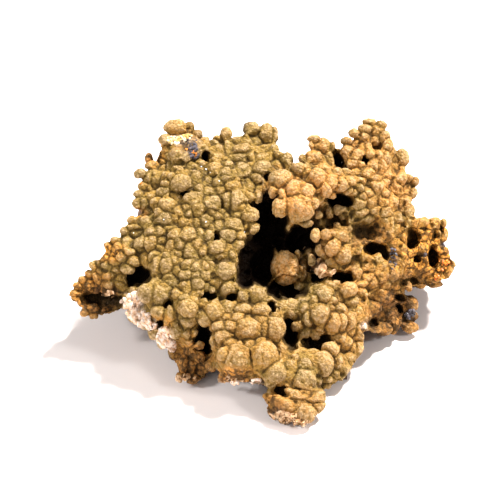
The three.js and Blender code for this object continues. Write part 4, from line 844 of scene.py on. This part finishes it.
def crustMaterial():
    material, nodes, links, shader = newMaterial("mottramiteCrust")
    place = nodes.new("ShaderNodeTexCoord").outputs["Object"]

    def attribute(name):
        node = nodes.new("ShaderNodeAttribute")
        node.attribute_name = name
        return node.outputs["Fac"]

    def pattern(scale, detail=3, roughness=0.6):
        node = nodes.new("ShaderNodeTexNoise")
        node.inputs["Scale"].default_value = scale
        node.inputs["Detail"].default_value = detail
        node.inputs["Roughness"].default_value = roughness
        links.new(place, node.inputs["Vector"])
        return node.outputs["Fac"]

    def cells(scale):
        node = nodes.new("ShaderNodeTexVoronoi")
        node.inputs["Scale"].default_value = scale
        links.new(place, node.inputs["Vector"])
        return node.outputs["Distance"]

    def ranged(value, low, high, toLow=0, toHigh=1):
        node = nodes.new("ShaderNodeMapRange")
        node.inputs["From Min"].default_value = low
        node.inputs["From Max"].default_value = high
        node.inputs["To Min"].default_value = toLow
        node.inputs["To Max"].default_value = toHigh
        links.new(value, node.inputs["Value"])
        return node.outputs["Result"]

    def maths(operation, a, b):
        node = nodes.new("ShaderNodeMath")
        node.operation = operation
        for socket, value in zip(node.inputs, (a, b)):
            if isinstance(value, (int, float)):
                socket.default_value = value
            else:
                links.new(value, socket)
        return node.outputs[0]

    def mixed(share, a, b):
        node = nodes.new("ShaderNodeMix")
        node.data_type = "RGBA"
        links.new(share, node.inputs["Factor"])
        for socket, value in ((node.inputs["A"], a), (node.inputs["B"], b)):
            if isinstance(value, tuple):
                socket.default_value = (*value, 1)
            else:
                links.new(value, socket)
        return node.outputs["Result"]

    def over(colour, share, name):
        return mixed(share, colour, crustFinish[name])

    def patchy(name, scale, detail, *limits):
        return maths("MULTIPLY", attribute(name), ranged(pattern(scale, detail), *limits))

    colour = over(crustFinish["oliveDark"], ranged(pattern(300), 0.35, 0.65), "olive")
    colour = over(colour, ranged(attribute("tint"), 0.3, 1, 0, 0.6), "gold")
    colour = over(colour, patchy("tan", 420, 3, 0.3, 0.6, 0.5, 1), "tan")
    # pale dust and painted highlight on what stands out, and pale specks on raised grain that are partly dust
    # and partly painted glints
    raisedDustAndHighlight = ranged(attribute("broad"), 0.45, 0.1, 0, 0.62)
    raisedDustAndHighlight = maths("MULTIPLY", raisedDustAndHighlight, ranged(pattern(1100), 0.4, 0.6, 0.2, 1))
    colour = over(colour, raisedDustAndHighlight, "dustAndHighlight")
    paleSpeckAndGlint = ranged(pattern(2600, 2), 0.56, 0.68, 0, 0.7)
    paleSpeckAndGlint = maths("MULTIPLY", paleSpeckAndGlint, ranged(attribute("fine"), 0.65, 0.3))
    colour = over(colour, paleSpeckAndGlint, "dustAndHighlight")
    colour = over(colour, ranged(cells(1500), 0.45, 0.85, 0, 0.55), "oliveDark")
    colour = over(colour, patchy("rust", 700, 5, 0.4, 0.55, 0.35, 1), "rust")
    colour = over(colour, patchy("brown", 500, 5, 0.35, 0.55, 0.55, 1), "brown")
    # painted shade in the pores of the bare parts, and painted shade in creases and hollows
    poreShade = ranged(maths("MAXIMUM", attribute("rust"), attribute("brown")), 0.2, 0.8)
    poreShade = maths("MULTIPLY", poreShade, ranged(cells(900), 0.42, 0.64, 0, 0.8))
    colour = over(colour, poreShade, "paintedShade")
    sunkShade = ranged(attribute("broad"), 0.62, 0.97, 0, 0.8)
    sunkShade = maths("MAXIMUM", sunkShade, ranged(attribute("fine"), 0.6, 0.95, 0, 0.6))
    shaded = maths("MAXIMUM", sunkShade, ranged(attribute("deep"), 0.3, 0.9, 0, 0.9))
    colour = over(colour, shaded, "paintedShade")
    # the matrix deep in the hollows, painted near black as shade
    colour = over(colour, attribute("matrix"), "matrix")
    # the rock's back and underside, with painted shade in its creases
    ochre = over(crustFinish["umber"], ranged(pattern(140, 6), 0.42, 0.62), "brown")
    ochre = over(ochre, ranged(pattern(260, 5), 0.56, 0.7, 0, 0.75), "ochre")
    ochre = over(ochre, sunkShade, "paintedShade")
    colour = mixed(attribute("back"), colour, ochre)
    colour = over(colour, patchy("pale", 1100, 4, 0.4, 0.55, 0.3, 1), "pale")
    colour = over(colour, patchy("grey", 1400, 4, 0.42, 0.56, 0.2, 1), "grey")
    links.new(colour, shader.inputs["Base Color"])
    shader.inputs["Specular IOR Level"].default_value = crustFinish["shine"]
    links.new(ranged(pattern(800), 0.3, 0.7, *crustFinish["roughness"]), shader.inputs["Roughness"])
    bump = nodes.new("ShaderNodeBump")
    bump.inputs["Strength"].default_value = crustFinish["bump"]
    bump.inputs["Distance"].default_value = crustFinish["bumpDistance"]
    grains = maths("SUBTRACT", 1, cells(1500))
    links.new(maths("ADD", grains, maths("MULTIPLY", pattern(3000, 3), 0.8)), bump.inputs["Height"])
    links.new(bump.outputs["Normal"], shader.inputs["Normal"])
    return material


def carried(piece, material):
    piece.data.materials.append(material)
    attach(piece, "root")
    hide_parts(nodeName)


def inRock(across, up):
    return insideOf(across, up) > ground["rockInset"]


def makeCrust():
    # the crust in a left and a right piece, with the rock behind them
    material = crustMaterial()
    sides = rightOfParting([ball[0] for ball in balls], [ball[1] for ball in balls])
    for name, sign in (("leftCrust", -1), ("rightCrust", 1)):
        shape = bmesh.new()

        def inRegion(across, up):
            ownSide = sign * rightOfParting(across, up) > -ground["overlap"]
            return (insideOf(across, up) > 0) & ownSide

        buildSheet(shape, ground["step"], inRegion, crustTop, slabBottom)
        own = [ball for ball, side in zip(balls, sides) if sign * side >= 0]
        for ball in own:
            atRim = edgeDistance(*ball[:2])[0] < lumpShape["rimWidth"]
            if min(ball[3:5]) > lumpShape["leastBall"] and (atRim or ball[0] < lumpShape["blockFrom"]):
                addBall(shape, ball)
        if sign > 0:
            for column in columns:
                addBall(shape, column)
        piece = remeshed(shape, name, skin["voxel"])
        refine(piece, own)
        paint(piece, own)
        carried(piece, material)
        print(name, "finished")
    shape = bmesh.new()
    buildSheet(shape, ground["rockStep"], inRock, rockTop, rockBottom)
    piece = remeshed(shape, "rock", skin["backVoxel"])
    refine(piece)
    paint(piece)
    carried(piece, material)
    print("rock finished")


makeCrust()

# Small things set on the crust. Patches: (across, up, radius across, radius up, count, size, lift).
# Shapes: a grain's three radii, as shares of its size.
fringe = {
    "patches": [
        (-32.2, -8.5, 2, 3.3, 46, 0.95, 0), (-30, -11.5, 2, 1.7, 26, 0.9, 0),
        (-27.3, -13.3, 1.6, 1, 24, 0.6, 0), (-24, -16.2, 1.9, 2.3, 36, 1, 0),
        (-22.4, -18.6, 1, 1.4, 22, 0.7, -0.5), (-34.7, -7.2, 0.9, 0.5, 6, 0.6, 0.5),
        (-6.5, -27.3, 1.2, 0.4, 11, 0.6, -0.5), (-1.4, -27, 1.6, 0.6, 18, 0.65, -0.5),
        (25.5, -13.5, 0.4, 0.5, 5, 0.5, 0.3),
    ],
    "shape": (1, 0.8, 0.6),
    "colours": ((0.8, 0.66, 0.56), (0.7, 0.44, 0.26)),
    "roughness": 0.4,
}
flakes = {
    "patches": [
        (13.5, 1.4, 2.2, 1.5, 14, 1.5, 0.6), (16.2, 0, 2, 1, 12, 1.4, 0.6), (12, 4.4, 1, 1.4, 7, 1.2, 0.6),
        (5.5, -35.8, 3.6, 1.3, 30, 1, 0), (9.5, -37, 2.5, 0.7, 14, 0.8, 0), (-8, -26.5, 3.4, 1, 22, 1, -1),
        (-38, -5.6, 1.8, 0.7, 12, 0.9, 0.2), (-19, -26.5, 2.4, 1, 16, 0.8, 0),
    ],
    "shape": (1, 0.7, 0.13),
    "colours": ((0.66, 0.44, 0.25), (0.34, 0.17, 0.06)),
    "roughness": 0.5,
}
brokenPatch = {
    "patches": [(-21.5, 33.2, 2.4, 1, 40, 0.6, 0), (-18.6, 34, 1.2, 0.8, 14, 0.5, 0)],
    "shape": (1, 0.8, 0.5),
    "colours": ((0.8, 0.68, 0.48), (0.68, 0.43, 0.13)),
    "roughness": 0.4,
}
metalGrains = {
    "patches": [
        (-17.8, 32.2, 1.5, 1.4, 44, 0.45, 0.1), (-17, 29.8, 1.3, 1.3, 26, 0.4, 0),
        (33, 3.5, 0.9, 3, 22, 0.35, 0.3), (41.2, 4.3, 0.4, 0.4, 3, 0.4, 0.4),
        (46, 6.7, 0.4, 0.4, 3, 0.35, 0.3), (37.6, -10.8, 1.4, 1.1, 26, 0.5, 0),
    ],
    "shape": (1, 0.9, 0.8),
    "colours": ((0.035, 0.03, 0.034), (0.11, 0.09, 0.105)),
    "roughness": 0.5,
}
redSpecks = {
    "patches": [
        (-17.2, 29.6, 0.9, 0.9, 9, 0.32, 0.3), (-18.8, 30.8, 0.5, 0.4, 3, 0.3, 0.3),
        (-30.3, 22.2, 0.2, 0.6, 4, 0.35, 0), (46, 1.5, 1.8, 1.8, 14, 0.4, 0.3),
        (44.5, -1.5, 1.6, 0.8, 8, 0.4, 0.2),
    ],
    "shape": (1, 0.8, 0.7),
    "colours": ((0.55, 0.13, 0.02), (0.75, 0.28, 0.03)),
    "roughness": 0.45,
}
# White glossy grains that stand in for glints: painted highlights.
glintPlaces = [
    (-15.2, 26.5), (-14, 25.8), (-13, 25), (-10.8, 22.8), (-24.5, 13), (-14, 12.5), (-32.2, 9.8), (-4.5, 10),
]
glints = [(*place, 0.1, 0.1, 1, 0.19, 0.4) for place in glintPlaces]
sparkles = {
    "patches": glints + [(20.5, 27.8, 0.1, 0.1, 1, 0.4, 0.4)],
    "shape": (1, 0.9, 0.8),
    "colours": ((0.95, 0.95, 0.92), (0.9, 0.9, 0.88)),
    "roughness": 0.15,
}


grain = {
    "lean": 1.2,
    "sizes": (0.6, 1.3),
    "chipDepth": 0.12,
    "chipScale": 2.3,
    "mottleScale": 900,
    "mottle": (0.42, 0.6),
}


def grainMaterial(name, values):
    material, nodes, links, shader = newMaterial(name)
    place = nodes.new("ShaderNodeTexCoord").outputs["Object"]
    noiseNode = nodes.new("ShaderNodeTexNoise")
    noiseNode.inputs["Scale"].default_value = grain["mottleScale"]
    links.new(place, noiseNode.inputs["Vector"])
    ramp = nodes.new("ShaderNodeValToRGB")
    for element, start, colour in zip(ramp.color_ramp.elements, grain["mottle"], values["colours"]):
        element.position = start
        element.color = (*colour, 1)
    links.new(noiseNode.outputs["Fac"], ramp.inputs["Fac"])
    links.new(ramp.outputs["Color"], shader.inputs["Base Color"])
    shader.inputs["Roughness"].default_value = values["roughness"]
    return material


def makeGrains(name, values, seed):
    # small angular grains, turned at random, half sunk in the crust
    dice = random.Random(seed)
    shape = bmesh.new()
    for a, u, radiusAcross, radiusUp, count, size, lift in values["patches"]:
        angle = [dice.uniform(0, 2 * math.pi) for i in range(count)]
        reach = [math.sqrt(dice.random()) for i in range(count)]
        across = np.array([a + radiusAcross * r * math.cos(t) for r, t in zip(reach, angle)])
        up = np.array([u + radiusUp * r * math.sin(t) for r, t in zip(reach, angle)])
        for x, y, out in zip(across, up, crustTop(across, up)):
            leans = [dice.uniform(-grain["lean"], grain["lean"]) for i in range(2)]
            turn = Euler((*leans, dice.uniform(0, 3))).to_matrix().to_4x4()
            own = size * dice.uniform(*grain["sizes"])
            place = Matrix.Translation((x, y, out + lift)) @ turn @ Matrix.Diagonal((*values["shape"], 1))
            bmesh.ops.create_icosphere(shape, subdivisions=1, radius=own, matrix=place)
    for v in shape.verts:
        v.co += grain["chipDepth"] * noise.noise_vector(v.co * grain["chipScale"])
    carried(pieceFrom(shape, name), grainMaterial(name + "Finish", values))


grainKinds = {
    "crystalFringe": fringe,
    "paleFlakes": flakes,
    "brokenPatch": brokenPatch,
    "metalGrains": metalGrains,
    "redSpecks": redSpecks,
    "sparkles": sparkles,
}
for seed, (name, values) in enumerate(grainKinds.items(), 21):
    makeGrains(name, values, seed)
print("small grains set")

# Floor, lights and camera, sizes in metres.
stageValues = {
    "floor": (0.95, 0.87, 0.84),
    "floorRoughness": 0.9,
    "floorShine": 0.1,
    "keyPower": 46,
    "keyAngle": (0.42, 0.36, 0.9),  # direction from the specimen to the main light
    "keySize": 0.16,
    "leftPower": 9,
    "leftAngle": (-0.8, -0.22, 0.6),
    "rightPower": 5,
    "rightAngle": (0.72, -0.36, 0.6),
    "fillPower": 4,
    "fillPlace": (-0.7, -1.1, 0.9),
    "fillSize": 1,
    "sideSize": 0.2,
    "lightDistance": 1.2,
    "keyColour": (1, 0.985, 0.96),
    "floorSize": 4,  # half its width
    "world": 0.3,
    "lens": 300,
    "sensor": 36,
    "frameWidth": 125,  # millimetres across the picture
    "target": (-3, 5.5, 35),  # what the camera looks at, on the face
    "clip": (0.05, 20),
}


def makeStage():
    plan = bmesh.new()
    bmesh.ops.create_grid(plan, x_segments=1, y_segments=1, size=stageValues["floorSize"])
    mesh = bpy.data.meshes.new("floor")
    plan.to_mesh(mesh)
    plan.free()
    floor = linked("floor", mesh)
    material, *_, shader = newMaterial("paleFloor")
    shader.inputs["Base Color"].default_value = (*stageValues["floor"], 1)
    shader.inputs["Roughness"].default_value = stageValues["floorRoughness"]
    shader.inputs["Specular IOR Level"].default_value = stageValues["floorShine"]
    mesh.materials.append(material)


def aimedAt(item, target):
    direction = Vector(target) - item.location
    item.rotation_euler = direction.to_track_quat("-Z", "Y").to_euler()


def addLight(name, place, size, power, target, colour=(1, 1, 1)):
    data = bpy.data.lights.new(name, "AREA")
    data.shape = "DISK"
    data.size = size
    data.energy = power
    data.color = colour
    lamp = linked(name, data)
    lamp.location = place
    aimedAt(lamp, target)


def makeLights():
    middle = Vector((0, 0, 0.02))
    sizes = {"key": stageValues["keySize"], "left": stageValues["sideSize"], "right": stageValues["sideSize"]}
    for side, size in sizes.items():
        away = Vector(stageValues[side + "Angle"]).normalized() * stageValues["lightDistance"]
        colour = stageValues["keyColour"] if side == "key" else (1, 1, 1)
        addLight(side + "Light", middle + away, size, stageValues[side + "Power"], middle, colour)
    addLight("fillLight", stageValues["fillPlace"], stageValues["fillSize"], stageValues["fillPower"], middle)
    world = bpy.data.worlds.new("studio")
    world.use_nodes = True
    background = world.node_tree.nodes["Background"]
    background.inputs["Color"].default_value = (1, 1, 1, 1)
    background.inputs["Strength"].default_value = stageValues["world"]
    bpy.context.scene.world = world
    bpy.context.scene.view_settings.view_transform = "Standard"


def makeCamera():
    data = bpy.data.cameras.new("camera")
    data.lens = stageValues["lens"]
    data.sensor_width = stageValues["sensor"]
    data.clip_start, data.clip_end = stageValues["clip"]
    camera = linked("camera", data)
    target = faceToRock @ Vector(stageValues["target"])
    distance = stageValues["frameWidth"] * mm * stageValues["lens"] / stageValues["sensor"]
    elevation = math.radians(face["tilt"])
    camera.location = target + distance * Vector((0, -math.cos(elevation), math.sin(elevation)))
    aimedAt(camera, target)
    bpy.context.scene.camera = camera


makeStage()
makeLights()
makeCamera()
print("stage, lights and camera set")
